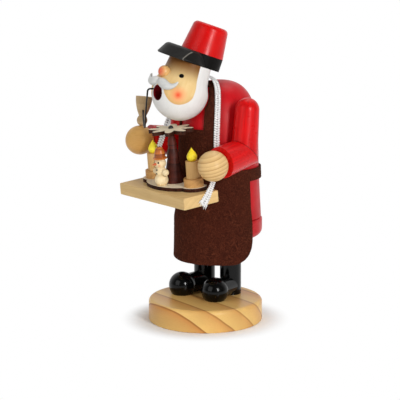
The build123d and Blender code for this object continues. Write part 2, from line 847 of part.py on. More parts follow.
with BuildPart() as pipe_stem:
    with BuildLine() as stem_route:
        tangent_arcs(stem_points)
    with BuildSketch(section_plane(stem_points)):
        Circle(pipe_stem_radius)
    sweep(path=stem_route.line)
write(pipe_stem, "pipe_stem")

# Tray board, its dowels, and the braided strap that hangs it round the neck
with BuildPart() as tray_board:
    with BuildSketch(tray_spine):
        Rectangle(tray_width, tray_depth)
    extrude(amount=-tray_thickness)
    fillet(tray_board.edges(), tray_edge_round)
    for side in (1, -1):
        add(tray_dowel(side, dowel_clearance), mode=Mode.SUBTRACT)
write(tray_board, "tray_board")

with BuildPart() as tray_dowels:
    for side in (1, -1):
        add(tray_dowel(side, 0))
write(tray_dowels, "tray_dowels")

strap_points = [
    Vector(26.5, -22.1, 82.3),
    Vector(26.7, -15.6, 90.6),
    Vector(12.7, -1.2, 104.2),
    Vector(12.0, -0.4, 124.4),
    Vector(8.8, 3.2, 141.6),
    Vector(2.4, 7.7, 153.0),
    Vector(-8.6, 8.5, 157.0),
    Vector(-20.0, 5.2, 153.0),
    Vector(-28.2, -6.2, 131.5),
    Vector(-30.4, -11.6, 115.0),
    Vector(-37.0, -13.0, 100.5),
    Vector(-44.0, -12.4, 91.5),
    Vector(-43.7, -13.4, 82.3),
]
with BuildPart() as tray_strap:
    with BuildLine() as strap_route:
        tangent_arcs(strap_points)
    with BuildSketch(section_plane(strap_points)):
        Circle(strap_radius)
    sweep(path=strap_route.line)
write(tray_strap, "tray_strap")
print("Radii of the strap's arcs:", [round(radius, 1) for radius in arc_radii(strap_points)])

# Pyramid plate, sawn as a cloud
with BuildPart() as pyramid_plate:
    with BuildSketch(tray_spine):
        with Locations((0, cloud_middle_y)):
            Ellipse(cloud_middle_width / 2, cloud_middle_depth / 2)
        with Locations((candle_spread, candle_y), (-candle_spread, candle_y)):
            Circle(cloud_lobe_radius)
        with Locations((0, cloud_back_y - cloud_middle_depth / 2)):
            Rectangle(tray_width, cloud_middle_depth, mode=Mode.INTERSECT)
    extrude(amount=cloud_thickness)
write(pyramid_plate, "pyramid_plate")

# Candles on the plate: holder, candle and pegged flame
for side, name in ((1, "left"), (-1, "right")):
    holder_spine = standing_at(pyramid_spine, side * candle_spread, candle_y)
    candle_spine = holder_spine.offset(holder_height)
    flame_spine = candle_spine.offset(candle_height)
    with BuildPart() as holder:
        with BuildSketch(holder_spine):
            Circle(holder_radius)
        extrude(amount=holder_height)
    write(holder, name + "_candle_holder")

    with BuildPart() as candle:
        with BuildSketch(candle_spine):
            Circle(candle_radius)
        extrude(amount=candle_height)
        with BuildSketch(flame_spine):
            Circle(flame_peg_radius + dowel_clearance)
        extrude(amount=-flame_peg_length, mode=Mode.SUBTRACT)
    write(candle, name + "_candle")

    with BuildPart() as flame:
        with BuildSketch(lathe_plane(flame_spine)):
            with BuildLine():
                foot = (0.62 * flame_radius, 0)
                tip_point = (0, flame_height)
                Line((0, 0), foot)
                Spline(
                    foot,
                    (flame_radius, 0.3 * flame_height),
                    (0.45 * flame_radius, 0.75 * flame_height),
                    tip_point,
                )
                Line(tip_point, (0, 0))
            make_face()
        revolve(axis=Axis(flame_spine.origin, flame_spine.z_dir))
        with BuildSketch(flame_spine):
            Circle(flame_peg_radius)
        extrude(amount=-(flame_peg_length - dowel_clearance))
    write(flame, name + "_flame")

# Turned fir tree that carries the rotor on a pin
tree_spine = standing_at(pyramid_spine, tree_x, tree_y)
chin_height = tree_spine.to_local_coords(Vector(*head_center) - Vector(0, 0, head_radius)).Z
tree_height = chin_height - rotor_chin_gap - rotor_thickness - rotor_end_play
rotor_spine = tree_spine.offset(tree_height + rotor_end_play)
tree_axis = Axis(tree_spine.origin, tree_spine.z_dir)
tier_height = tree_height / tree_tiers
with BuildPart() as fir_tree:
    with BuildSketch(lathe_plane(tree_spine)):
        with BuildLine():
            outline = [(0, tree_height), (0, 0)]
            for tier in range(tree_tiers):
                rim_radius = tree_radius - tier * tree_tier_step
                rest = tree_tiers - 1 - tier
                neck_radius = max(rim_radius - tree_tier_undercut, tree_top_radius)
                outline.append((rim_radius, tier * tier_height))
                outline.append((neck_radius if rest else tree_top_radius, (tier + 1) * tier_height))
            Polyline(*outline, close=True)
        make_face()
    revolve(axis=tree_axis)
    with BuildSketch(tree_spine.offset(tree_height)):
        Circle(pin_radius + dowel_clearance)
    extrude(amount=-pin_depth, mode=Mode.SUBTRACT)
write(fir_tree, "fir_tree")

# Wind rotor: petals round a hub, free to turn on the pin
petal_center = (rotor_radius + rotor_petal_root) / 2
with BuildPart() as rotor:
    with BuildSketch(rotor_spine):
        Circle(rotor_hub_radius)
        with PolarLocations(petal_center, rotor_petals):
            Ellipse(rotor_radius - petal_center, rotor_petal_half_width)
        Circle(pin_radius + pin_running_clearance, mode=Mode.SUBTRACT)
    extrude(amount=rotor_thickness)
write(rotor, "rotor")

pin_shoulder = rotor_spine.offset(rotor_thickness + rotor_end_play)
with BuildPart() as rotor_pin:
    with BuildSketch(tree_spine.offset(tree_height - pin_depth + dowel_clearance)):
        Circle(pin_radius)
    extrude(amount=pin_depth + 2 * rotor_end_play + rotor_thickness)
    with BuildSketch(lathe_plane(pin_shoulder)):
        with BuildLine():
            RadiusArc((pin_head_radius, 0), (0, pin_head_radius), -pin_head_radius)
            Polyline((0, pin_head_radius), (0, 0), (pin_head_radius, 0))
        make_face()
    revolve(axis=tree_axis)
write(rotor_pin, "rotor_pin")

# Snowman: turned body, round hat, two arms and a carrot nose
snow_spine = standing_at(pyramid_spine, snowman_x, snowman_y)
snow_axis = Axis(snow_spine.origin, snow_spine.z_dir)
snow_chest_z = 2 * snow_base_radius
snow_head_z = snow_chest_z + snow_chest_radius + 0.5 * snow_head_radius
snow_hat_z = snow_head_z + 0.8 * snow_head_radius
with BuildPart() as snowman_body:
    with Locations(standing_at(snow_spine, 0, 0, 0.8 * snow_base_radius).location):
        Sphere(snow_base_radius)
    with Locations(snow_spine.offset(snow_chest_z).location):
        Sphere(snow_chest_radius)
    with Locations(snow_spine.offset(snow_head_z).location):
        Sphere(snow_head_radius)
    split(bisect_by=snow_spine, keep=Keep.TOP)
    split(bisect_by=snow_spine.offset(snow_hat_z), keep=Keep.BOTTOM)
write(snowman_body, "snowman_body")

hat_place = snow_spine.offset(snow_hat_z)
with BuildPart() as snowman_hat:
    with BuildSketch(lathe_plane(hat_place)):
        with BuildLine():
            brim = (snow_hat_brim_radius, 0)
            brim_top = (snow_hat_brim_radius, snow_brim_thickness)
            crown_foot = (0.80 * snow_hat_brim_radius, 1.6 * snow_brim_thickness)
            hat_top = (0, snow_hat_height)
            Polyline((0, 0), brim, brim_top, crown_foot)
            Spline(
                crown_foot,
                (0.70 * snow_hat_brim_radius, 0.6 * snow_hat_height),
                (0.42 * snow_hat_brim_radius, 0.92 * snow_hat_height),
                hat_top,
                tangents=((-0.05, 1), (-1, 0)),
            )
            Line(hat_top, (0, 0))
        make_face()
    revolve(axis=snow_axis)
write(snowman_hat, "snowman_hat")

with BuildPart() as snowman_arms:
    arm_x = snow_chest_radius + 0.5 * snow_arm_radius
    with Locations(standing_at(snow_spine, arm_x, 0, snow_chest_z).location):
        Sphere(snow_arm_radius)
    arm_side = Plane(
        origin=snow_spine.from_local_coords((snow_chest_radius + dowel_clearance, 0, 0)),
        z_dir=snow_spine.x_dir,
    )
    split(bisect_by=arm_side, keep=Keep.TOP)
    mirror(about=Plane(origin=snow_spine.origin, z_dir=snow_spine.x_dir))
write(snowman_arms, "snowman_arms")

snow_nose_start = snow_spine.from_local_coords((0, -snow_head_radius, snow_head_z))
with BuildPart() as snowman_nose:
    with BuildSketch(Plane(origin=snow_nose_start, z_dir=-snow_spine.y_dir)):
        Circle(snow_nose_radius)
    extrude(amount=snow_nose_length, taper=snow_nose_taper_angle)
write(snowman_nose, "snowman_nose")
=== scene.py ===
import math
import random

import bmesh
import bpy
from mathutils import Euler, Matrix, Vector, noise
from mathutils.bvhtree import BVHTree


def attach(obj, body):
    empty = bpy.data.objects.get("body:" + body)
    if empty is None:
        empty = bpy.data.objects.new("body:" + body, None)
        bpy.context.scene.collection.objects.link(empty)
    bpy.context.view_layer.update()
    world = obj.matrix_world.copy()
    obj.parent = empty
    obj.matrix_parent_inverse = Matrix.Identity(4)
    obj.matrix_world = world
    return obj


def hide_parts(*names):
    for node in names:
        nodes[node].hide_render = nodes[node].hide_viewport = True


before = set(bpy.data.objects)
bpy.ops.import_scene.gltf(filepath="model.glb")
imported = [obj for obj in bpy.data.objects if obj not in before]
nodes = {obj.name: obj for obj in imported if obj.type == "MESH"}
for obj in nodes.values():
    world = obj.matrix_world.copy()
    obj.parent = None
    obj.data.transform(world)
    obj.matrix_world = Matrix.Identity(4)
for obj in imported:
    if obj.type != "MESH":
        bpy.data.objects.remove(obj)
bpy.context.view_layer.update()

MM = 0.001

# Places of the figure, in millimetres, as the part's source gives them
COAT_X, COAT_Y, SEAM_Z = -8.6, 18.4, 63.7
DOME_HEIGHT = 55.2
ELBOW_SIDE, ELBOW_Y, ELBOW_Z = 32.2, 12.3, 110.3
UPPER_ARM_WAY = (0, 0.0872, 0.9962)
HEAD_CENTER = (-8.6, -13.6, 147.2)
HEAD_LEAN = 25.0
HEAD_RADIUS = 18.0
MOUTH_DROP = 6.4
MOUTH_RADIUS = 4.55
NOSE_REACH = 16.8
NOSE_RADIUS = 3.85
NOSE_RISE = 7.3
HAT_CENTER = (-11.0, 2.7, 162.65)
HAT_AXIS = (0.139, 0.306, 0.942)
VISOR_REACH = 10.75
VISOR_BACK = -11.2
LEFT_HAND = (29.5, -17.4, 105.5)
RIGHT_HAND = (-46.7, -17.4, 112.5)
PIPE_CENTER = (-46.7, -15.6, 124.8)
PIPE_WAY = (0, 0.12, 0.99)
TRAY_CENTER = (-8.6, -23.43, 88.0)
TRAY_TILT = 4.9
PLATE_THICKNESS = 2.3
CANDLE_PLACE = (20.2, 5.2)
FIR_CENTER = (-7.7, -18.55, 90.7)
ROTOR_CENTER = (-7.7, -21.38, 123.77)
SNOWMAN_PLACE = (1.2, -5.3)
# Height and radius of the snowman's upper balls
SNOW_CHEST = (8.6, 3.6)
SNOW_HEAD = (14.05, 3.7)

# The photograph's view: degrees round and down, then metres, and the lens in millimetres
CAMERA_TURN = 51.66
CAMERA_PITCH = 11.17
CAMERA_DISTANCE = 0.9
CAMERA_HEIGHT = 0.25548
CAMERA_LENS = 129.37
CAMERA_SHIFT = -0.0135

turn_angle, tilt_angle = math.radians(CAMERA_TURN), math.radians(TRAY_TILT)
view_right = Vector((math.cos(turn_angle), math.sin(turn_angle), 0))
view_near = Vector((math.sin(turn_angle), -math.cos(turn_angle), 0))
up = Vector((0, 0, 1))
tray_axis = (0, -math.sin(tilt_angle), math.cos(tilt_angle))
tray_turn = Matrix.Rotation(tilt_angle, 4, "X")


def metres(place):
    """A place in millimetres as a vector in metres."""
    return Vector(place) * MM


def paint(red, green, blue):
    """A colour as the eye reads it, 0 to 255, turned into Blender's linear colour."""
    def linear(value):
        value /= 255
        return value / 12.92 if value <= 0.04045 else ((value + 0.055) / 1.055) ** 2.4
    return (linear(red), linear(green), linear(blue), 1.0)


def tray_point(place):
    """A place in the tray's own millimetres, in the frame's millimetres."""
    return Vector(TRAY_CENTER) + tray_turn @ Vector(place)


def snowman_way(round_angle, rise_angle):
    """A direction out from the snowman: degrees round from its front and degrees up."""
    turn, rise = math.radians(round_angle), math.radians(rise_angle)
    return Vector((math.sin(turn) * math.cos(rise), -math.cos(turn) * math.cos(rise), math.sin(rise)))


def snowman_point(height, radius, round_angle, rise_angle):
    """A place on one of the snowman's balls, in metres."""
    middle = Vector((*SNOWMAN_PLACE, PLATE_THICKNESS + height))
    return metres(tray_point(middle + radius * snowman_way(round_angle, rise_angle)))


# Node helpers

def plug(tree, socket, value):
    """Link a socket to another, or set its value."""
    if isinstance(value, bpy.types.NodeSocket):
        tree.links.new(value, socket)
    else:
        socket.default_value = value


def node(tree, kind, inputs=None, **settings):
    """Add a node with its settings, and fill its inputs by name or number."""
    made = tree.nodes.new(kind)
    for name, value in settings.items():
        setattr(made, name, value)
    for name, value in (inputs or {}).items():
        plug(tree, made.inputs[name], value)
    return made


def calc(tree, operation, *values):
    """One step of arithmetic."""
    return node(tree, "ShaderNodeMath", dict(enumerate(values)), operation=operation).outputs[0]


def measure(tree, operation, *vectors):
    """One number from vectors, such as a length or a dot product."""
    made = node(tree, "ShaderNodeVectorMath", dict(enumerate(vectors)), operation=operation)
    return made.outputs["Value"]


def ramp(tree, value, low, high, start=0.0, end=1.0):
    """A soft step: start below low, end above high."""
    inputs = {"Value": value, "From Min": low, "From Max": high, "To Min": start, "To Max": end}
    made = node(tree, "ShaderNodeMapRange", inputs, interpolation_type="SMOOTHSTEP")
    return made.outputs[0]


def blend_colours(tree, factor, first, second, blend_type="MIX"):
    """Two colours mixed by a factor."""
    made = node(
        tree, "ShaderNodeMix", {0: factor, 6: first, 7: second},
        data_type="RGBA", blend_type=blend_type, clamp_factor=True,
    )
    return made.outputs[2]


def mottle(tree, value, first, second):
    """Two colours that a noise moves between."""
    return blend_colours(tree, ramp(tree, value, 0.3, 0.7), first, second)


def speckle(tree, vector, scale, detail=2.0, roughness=0.5, distortion=0.0):
    """Plain noise, from 0 to 1."""
    inputs = {
        "Vector": vector, "Scale": scale, "Detail": detail,
        "Roughness": roughness, "Distortion": distortion,
    }
    return node(tree, "ShaderNodeTexNoise", inputs).outputs[0]


def stretched(tree, vector, scale):
    """Coordinates scaled differently along each axis."""
    return node(tree, "ShaderNodeMapping", {"Vector": vector, "Scale": scale}).outputs[0]


def object_place(tree):
    """The piece's own coordinates."""
    return node(tree, "ShaderNodeTexCoord").outputs["Object"]


def turned_place(tree, center, axis=(0, 0, 1)):
    """The piece's coordinates about a center, with Z along an axis."""
    rotation = Vector(axis).to_track_quat("Z", "Y").to_euler()
    inputs = {"Vector": object_place(tree), "Location": metres(center), "Rotation": rotation}
    return node(tree, "ShaderNodeMapping", inputs, vector_type="TEXTURE").outputs[0]


def new_group(name, takes, gives):
    """An empty node group with named inputs and outputs."""
    group = bpy.data.node_groups.new(name, "ShaderNodeTree")
    for socket_name, kind, value in takes:
        socket = group.interface.new_socket(socket_name, in_out="INPUT", socket_type="NodeSocket" + kind)
        if value is not None:
            socket.default_value = value
    for socket_name, kind in gives:
        group.interface.new_socket(socket_name, in_out="OUTPUT", socket_type="NodeSocket" + kind)
    start = group.nodes.new("NodeGroupInput")
    end = group.nodes.new("NodeGroupOutput")
    return group, start.outputs, end.inputs


def use(tree, group, inputs):
    """Place a node group in a material."""
    made = node(tree, "ShaderNodeGroup", node_tree=group)
    for name, value in inputs.items():
        plug(tree, made.inputs[name], value)
    return made.outputs


# Effects that several materials share

def make_growth_rings():
    """Year rings about the Z axis: a sharp dark line that fades outward, and fine fibres along Z."""
    group, takes, gives = new_group(
        "growth_rings",
        [
            ("Vector", "Vector", None), ("Ring Width", "Float", 0.004),
            ("Wobble", "Float", 0.0006), ("Fade", "Float", 2.0),
        ],
        [("Late Wood", "Float"), ("Ring Line", "Float"), ("Fibre", "Float"), ("Blotch", "Float")],
    )
    place = takes["Vector"]
    axes = node(group, "ShaderNodeSeparateXYZ", {0: place}).outputs
    across = node(group, "ShaderNodeCombineXYZ", {0: axes[0], 1: axes[1]}).outputs[0]
    radius = measure(group, "LENGTH", across)
    sway = calc(group, "SUBTRACT", speckle(group, stretched(group, place, (1, 1, 0.3)), 45, 1.5), 0.5)
    radius = calc(group, "MULTIPLY_ADD", sway, takes["Wobble"], radius)
    turns = calc(group, "DIVIDE", radius, takes["Ring Width"])
    share = calc(group, "FRACT", turns)
    line = calc(group, "POWER", calc(group, "SUBTRACT", 1.0, share), takes["Fade"])
    edge = ramp(group, share, 0.0, 0.05)
    count = calc(group, "FLOOR", turns)
    year = node(group, "ShaderNodeTexWhiteNoise", {"W": count}, noise_dimensions="1D").outputs[0]
    strength = calc(group, "MULTIPLY_ADD", year, 0.55, 0.45)
    late = calc(group, "MULTIPLY", calc(group, "MULTIPLY", line, edge), strength)
    plug(group, gives["Late Wood"], late)
    seam = calc(group, "MULTIPLY", ramp(group, share, 0.05, 0.15, 1.0, 0.0), edge)
    plug(group, gives["Ring Line"], calc(group, "MULTIPLY", seam, strength))
    plug(group, gives["Fibre"], speckle(group, stretched(group, place, (1, 1, 0.04)), 1900, 3.0, 0.6))
    plug(group, gives["Blotch"], speckle(group, stretched(group, place, (1, 1, 0.3)), 60, 2.0))
    return group


def make_brushed_paint():
    """Lacquer over wood: soft patches of tone, faint streaks of grain along Z and a fine ripple."""
    group, takes, gives = new_group(
        "brushed_paint",
        [("Vector", "Vector", None), ("Streak", "Float", 0.3)],
        [("Tone", "Float"), ("Ripple", "Float"), ("Gloss", "Float")],
    )
    place = takes["Vector"]
    patch = speckle(group, place, 55, 3.0)
    streak = speckle(group, stretched(group, place, (1, 1, 0.05)), 620, 3.0, 0.6)
    tone = node(
        group, "ShaderNodeMix", {0: takes["Streak"], 2: patch, 3: streak}, data_type="FLOAT"
    ).outputs[0]
    fine = speckle(group, place, 900, 2.0)
    plug(group, gives["Tone"], tone)
    grain = calc(group, "MULTIPLY", streak, takes["Streak"])
    plug(group, gives["Ripple"], calc(group, "MULTIPLY_ADD", fine, 0.25, grain))
    plug(group, gives["Gloss"], speckle(group, place, 160, 2.0))
    return group


def make_painted_spot():
    """A round dab of paint about a place, with a soft rim."""
    group, takes, gives = new_group(
        "painted_spot",
        [
            ("Vector", "Vector", None), ("Center", "Vector", None),
            ("Radius", "Float", 0.002), ("Softness", "Float", 0.0002),
        ],
        [("Spot", "Float")],
    )
    reach = measure(group, "DISTANCE", takes["Vector"], takes["Center"])
    inner = calc(group, "SUBTRACT", takes["Radius"], takes["Softness"])
    outer = calc(group, "ADD", takes["Radius"], takes["Softness"])
    plug(group, gives["Spot"], ramp(group, reach, inner, outer, 1.0, 0.0))
    return group


def make_burnt_edge():
    """Scorched walls of a sawn board: dark where a face turns away from the board's axis."""
    group, takes, gives = new_group(
        "burnt_edge",
        [("Vector", "Vector", None), ("Axis", "Vector", (0, 0, 1))],
        [("Scorch", "Float"), ("Smoke", "Float")],
    )
    facing = node(group, "ShaderNodeTexCoord").outputs["Normal"]
    along = measure(group, "DOT_PRODUCT", facing, takes["Axis"])
    wall = ramp(group, calc(group, "ABSOLUTE", along), 0.45, 0.75, 1.0, 0.0)
    plug(group, gives["Scorch"], wall)
    plug(group, gives["Smoke"], speckle(group, stretched(group, takes["Vector"], (1, 1, 0.4)), 700, 3.0))
    return group


def make_felt_fibres():
    """Matted wool: curled tufts, fine fibres and wide soft patches."""
    group, takes, gives = new_group(
        "felt_fibres", [("Vector", "Vector", None)],
        [("Tuft", "Float"), ("Patch", "Float"), ("Nap", "Float")],
    )
    place = takes["Vector"]
    curls = speckle(group, place, 430, 3.0, 0.6, 2.6)
    fibres = speckle(group, place, 2100, 2.0, 0.6, 1.4)
    tuft = calc(group, "ADD", calc(group, "MULTIPLY", curls, 0.68), calc(group, "MULTIPLY", fibres, 0.32))
    plug(group, gives["Tuft"], ramp(group, tuft, 0.42, 0.68))
    plug(group, gives["Patch"], speckle(group, place, 90, 2.0))
    plug(group, gives["Nap"], tuft)
    return group


growth_rings = make_growth_rings()
brushed_paint = make_brushed_paint()
painted_spot = make_painted_spot()
burnt_edge = make_burnt_edge()
felt_fibres = make_felt_fibres()


# Materials

def new_material(name, roughness=0.5, **sockets):
    """A material with its shader's plain numbers set."""
    material = bpy.data.materials.new(name)
    material.use_nodes = True
    tree = material.node_tree
    shader = tree.nodes["Principled BSDF"]
    shader.inputs["Roughness"].default_value = roughness
    for socket, value in sockets.items():
        shader.inputs[socket.replace("_", " ")].default_value = value
    return material, tree, shader.inputs


def add_bump(tree, sockets, height, depth, strength=1.0):
    """Turn a height into a bump, its depth in millimetres."""
    made = node(tree, "ShaderNodeBump", {"Height": height, "Distance": depth * MM, "Strength": strength})
    plug(tree, sockets["Normal"], made.outputs[0])


def wood(
    name, pale, dark, center, fibre, ring, wobble,
    fade=2.0, streak=0.25, roughness=0.45, contrast=1.0, line=0.0, **sockets
):
    """Bare or oiled wood with its year rings about a center line along the fibre."""
    material, tree, shader = new_material(name, roughness, **sockets)
    place = turned_place(tree, center, fibre)
    inputs = {"Vector": place, "Ring Width": ring * MM, "Wobble": wobble * MM, "Fade": fade}
    grain = use(tree, growth_rings, inputs)
    late = calc(tree, "MULTIPLY", grain["Late Wood"], contrast)
    tone = blend_colours(tree, late, pale, dark)
    deep = tuple(0.42 * part for part in dark[:3]) + (1.0,)
    tone = blend_colours(tree, calc(tree, "MULTIPLY", grain["Ring Line"], line), tone, deep)
    tone = blend_colours(tree, ramp(tree, grain["Fibre"], 0.45, 0.75, 0.0, streak), tone, dark)
    shade = ramp(tree, grain["Blotch"], 0.3, 0.7, 0.92, 1.05)
    tone = blend_colours(tree, 1.0, tone, shade, "MULTIPLY")
    plug(tree, shader["Base Color"], tone)
    plug(tree, shader["Roughness"], ramp(tree, grain["Fibre"], 0.2, 0.8, roughness - 0.06, roughness + 0.1))
    groove = calc(tree, "MULTIPLY", grain["Ring Line"], -0.4)
    add_bump(tree, shader, calc(tree, "MULTIPLY_ADD", grain["Fibre"], 0.5, groove), 0.04)
    return material


def lacquer(
    name, colour, deep, roughness, streak=0.25, center=(0, 0, 0), axis=(0, 0, 1), bump=0.02, **sockets
):
    """Brushed lacquer over turned wood."""
    material, tree, shader = new_material(name, roughness, **sockets)
    coat = use(tree, brushed_paint, {"Vector": turned_place(tree, center, axis), "Streak": streak})
    plug(tree, shader["Base Color"], blend_colours(tree, ramp(tree, coat["Tone"], 0.3, 0.72), deep, colour))
    gloss = ramp(tree, coat["Gloss"], 0.25, 0.75, roughness - 0.05, roughness + 0.07)
    plug(tree, shader["Roughness"], gloss)
    add_bump(tree, shader, coat["Ripple"], bump)
    return material


def overpaint(tree, cover, colour):
    """Lay a colour over a finished material's own, where a mask covers it."""
    base = tree.nodes["Principled BSDF"].inputs["Base Color"]
    plug(tree, base, blend_colours(tree, cover, base.links[0].from_socket, colour))


def dab(material, center, radius, softness, colour, strength):
    """Brush a soft round dab of colour over a finished material."""
    tree = material.node_tree
    inputs = {
        "Vector": object_place(tree), "Center": center,
        "Radius": radius * MM, "Softness": softness * MM,
    }
    spot = use(tree, painted_spot, inputs)
    overpaint(tree, calc(tree, "MULTIPLY", spot["Spot"], strength), colour)


def visor_seam(material, line, beyond):
    """Draw the fine pale seam at both ends of the visor, with the band's black beyond it."""
    tree = material.node_tree
    across, depth = node(tree, "ShaderNodeSeparateXYZ", {0: object_place(tree)}).outputs[:2]
    off = calc(tree, "ABSOLUTE", calc(tree, "SUBTRACT", across, COAT_X * MM))
    past = calc(tree, "SUBTRACT", off, VISOR_REACH * MM)
    overpaint(tree, ramp(tree, past, 0.0, 0.3 * MM), beyond)
    fine = ramp(tree, calc(tree, "ABSOLUTE", past), 0.1 * MM, 0.24 * MM, 0.5, 0.0)
    front = ramp(tree, depth, (VISOR_BACK - 1.5) * MM, VISOR_BACK * MM, 1.0, 0.0)
    overpaint(tree, calc(tree, "MULTIPLY", fine, front), line)


def joint_line(material, place, way, colour):
    """Draw the fine dark line where two lacquered pieces meet in a plane."""
    tree = material.node_tree
    inputs = {0: object_place(tree), 1: metres(place)}
    from_joint = node(tree, "ShaderNodeVectorMath", inputs, operation="SUBTRACT").outputs[0]
    off = calc(tree, "ABSOLUTE", measure(tree, "DOT_PRODUCT", from_joint, way))
    overpaint(tree, ramp(tree, off, 0.2 * MM, 0.6 * MM, 0.85, 0.0), colour)


def dress(material, *names):
    """Give CAD nodes their finish."""
    for name in names:
        mesh = nodes[name].data
        mesh.materials.clear()
        mesh.materials.append(material)


def dress_turned_wood():
    """Base, hands, pipe, tray and the small turned pieces."""
    # The base is sawn far from the heart, so its year layers are almost flat
    layer = (0.535 * view_right + 0.737 * up - 0.413 * view_near).normalized()
    run = (0.413 * view_right + 0.535 * view_near).normalized()
    pine = wood(
        "honey_pine", paint(233, 191, 114), paint(190, 112, 46), 601.1 * layer, run, ring=11.4, wobble=4.0,
        fade=1.3, streak=0.14, roughness=0.36, contrast=0.95, line=0.7,
        Specular_IOR_Level=0.22, Coat_Weight=0.08, Coat_Roughness=0.3,
    )
    dress(pine, "base_disc")

    # The hands' rings show as slanted stripes on one ball; the other ball is darker towards the bottom
    stripe = (up - 0.28 * view_right).normalized()
    run = (view_right + 0.28 * up).normalized()
    heart = Vector(LEFT_HAND) - 40 * stripe
    pine = wood(
        "striped_pine", paint(228, 192, 134), paint(182, 130, 66), heart, run, ring=2.35, wobble=1.0,
        fade=2.2, streak=0.2, roughness=0.36, line=0.25, Specular_IOR_Level=0.22,
    )
    dress(pine, "left_hand")
    heart = Vector(RIGHT_HAND) - 45 * up
    pine = wood(
        "bottom_dark_pine", paint(226, 176, 102), paint(192, 130, 60), heart, view_right, ring=30.0, wobble=3.0,
        fade=1.1, streak=0.35, roughness=0.38, contrast=0.6, Specular_IOR_Level=0.22,
    )
    dress(pine, "right_hand")

    beech = wood(
        "pipe_beech", paint(206, 176, 132), paint(152, 122, 84), PIPE_CENTER, PIPE_WAY,
        ring=1.6, wobble=0.7, streak=0.35, roughness=0.5, contrast=0.3, Specular_IOR_Level=0.22,
    )
    dress(beech, "pipe_bowl")
    board = wood(
        "lime_board", paint(222, 188, 130), paint(186, 144, 86), (COAT_X, -12.0, 60.0), (1, 0.02, 0),
        ring=3.6, wobble=2.2, fade=1.4, streak=0.3, roughness=0.5, contrast=0.32, Specular_IOR_Level=0.2,
    )
    dress(board, "tray_board")
    for side, name in ((1, "left"), (-1, "right")):
        stand = Vector(TRAY_CENTER) + Vector((side * CANDLE_PLACE[0], CANDLE_PLACE[1], 0))
        candle = wood(
            name + "_candle_beech", paint(216, 174, 114), paint(180, 128, 70), stand, tray_axis,
            ring=1.5, wobble=1.2, fade=1.6, streak=0.4, roughness=0.5, contrast=0.5,
            Specular_IOR_Level=0.22,
        )
        dress(candle, name + "_candle")
        holder = wood(
            name + "_holder_beech", paint(210, 162, 100), paint(164, 108, 54), stand, (1, 0.2, 0.1),
            ring=2.2, wobble=1.2, fade=1.6, streak=0.35, roughness=0.5, contrast=0.4,
            Specular_IOR_Level=0.22,
        )
        dress(holder, name + "_candle_holder")
    beech = wood(
        "dowel_beech", paint(214, 180, 130), paint(170, 126, 74), (0, 0, 0), (0, 1, 0),
        ring=1.8, wobble=0.8, streak=0.4, roughness=0.6,
    )
    dress(beech, "shoulder_dowels", "wrist_dowels", "head_dowel", "hat_dowel", "tray_dowels")
    fir = wood(
        "stained_fir", paint(88, 35, 23), paint(46, 17, 11), FIR_CENTER, tray_axis,
        ring=1.4, wobble=0.9, fade=1.2, streak=0.6, roughness=0.5, Specular_IOR_Level=0.25,
    )
    dress(fir, "fir_tree")

    snow_center = tray_point((*SNOWMAN_PLACE, 0))
    amber = wood(
        "amber_stain", paint(204, 116, 46), paint(128, 54, 18), snow_center, tray_axis,
        ring=1.1, wobble=0.5, fade=1.4, streak=0.4, roughness=0.3, line=0.4, Specular_IOR_Level=0.4,
    )
    dress(amber, "snowman_hat")
    snow = wood(
        "snow_lime", paint(244, 222, 178), paint(216, 182, 126), snow_center, tray_axis,
        ring=1.5, wobble=0.9, fade=1.6, streak=0.3, roughness=0.5, contrast=0.35, Specular_IOR_Level=0.3,
    )
    height, radius = SNOW_HEAD
    for side in (1, -1):
        cheek = snowman_point(height, radius, side * 40, -16)
        dab(snow, cheek, radius=0.7, softness=1.1, colour=paint(226, 128, 92), strength=0.75)
    dress(snow, "snowman_body", "snowman_arms")


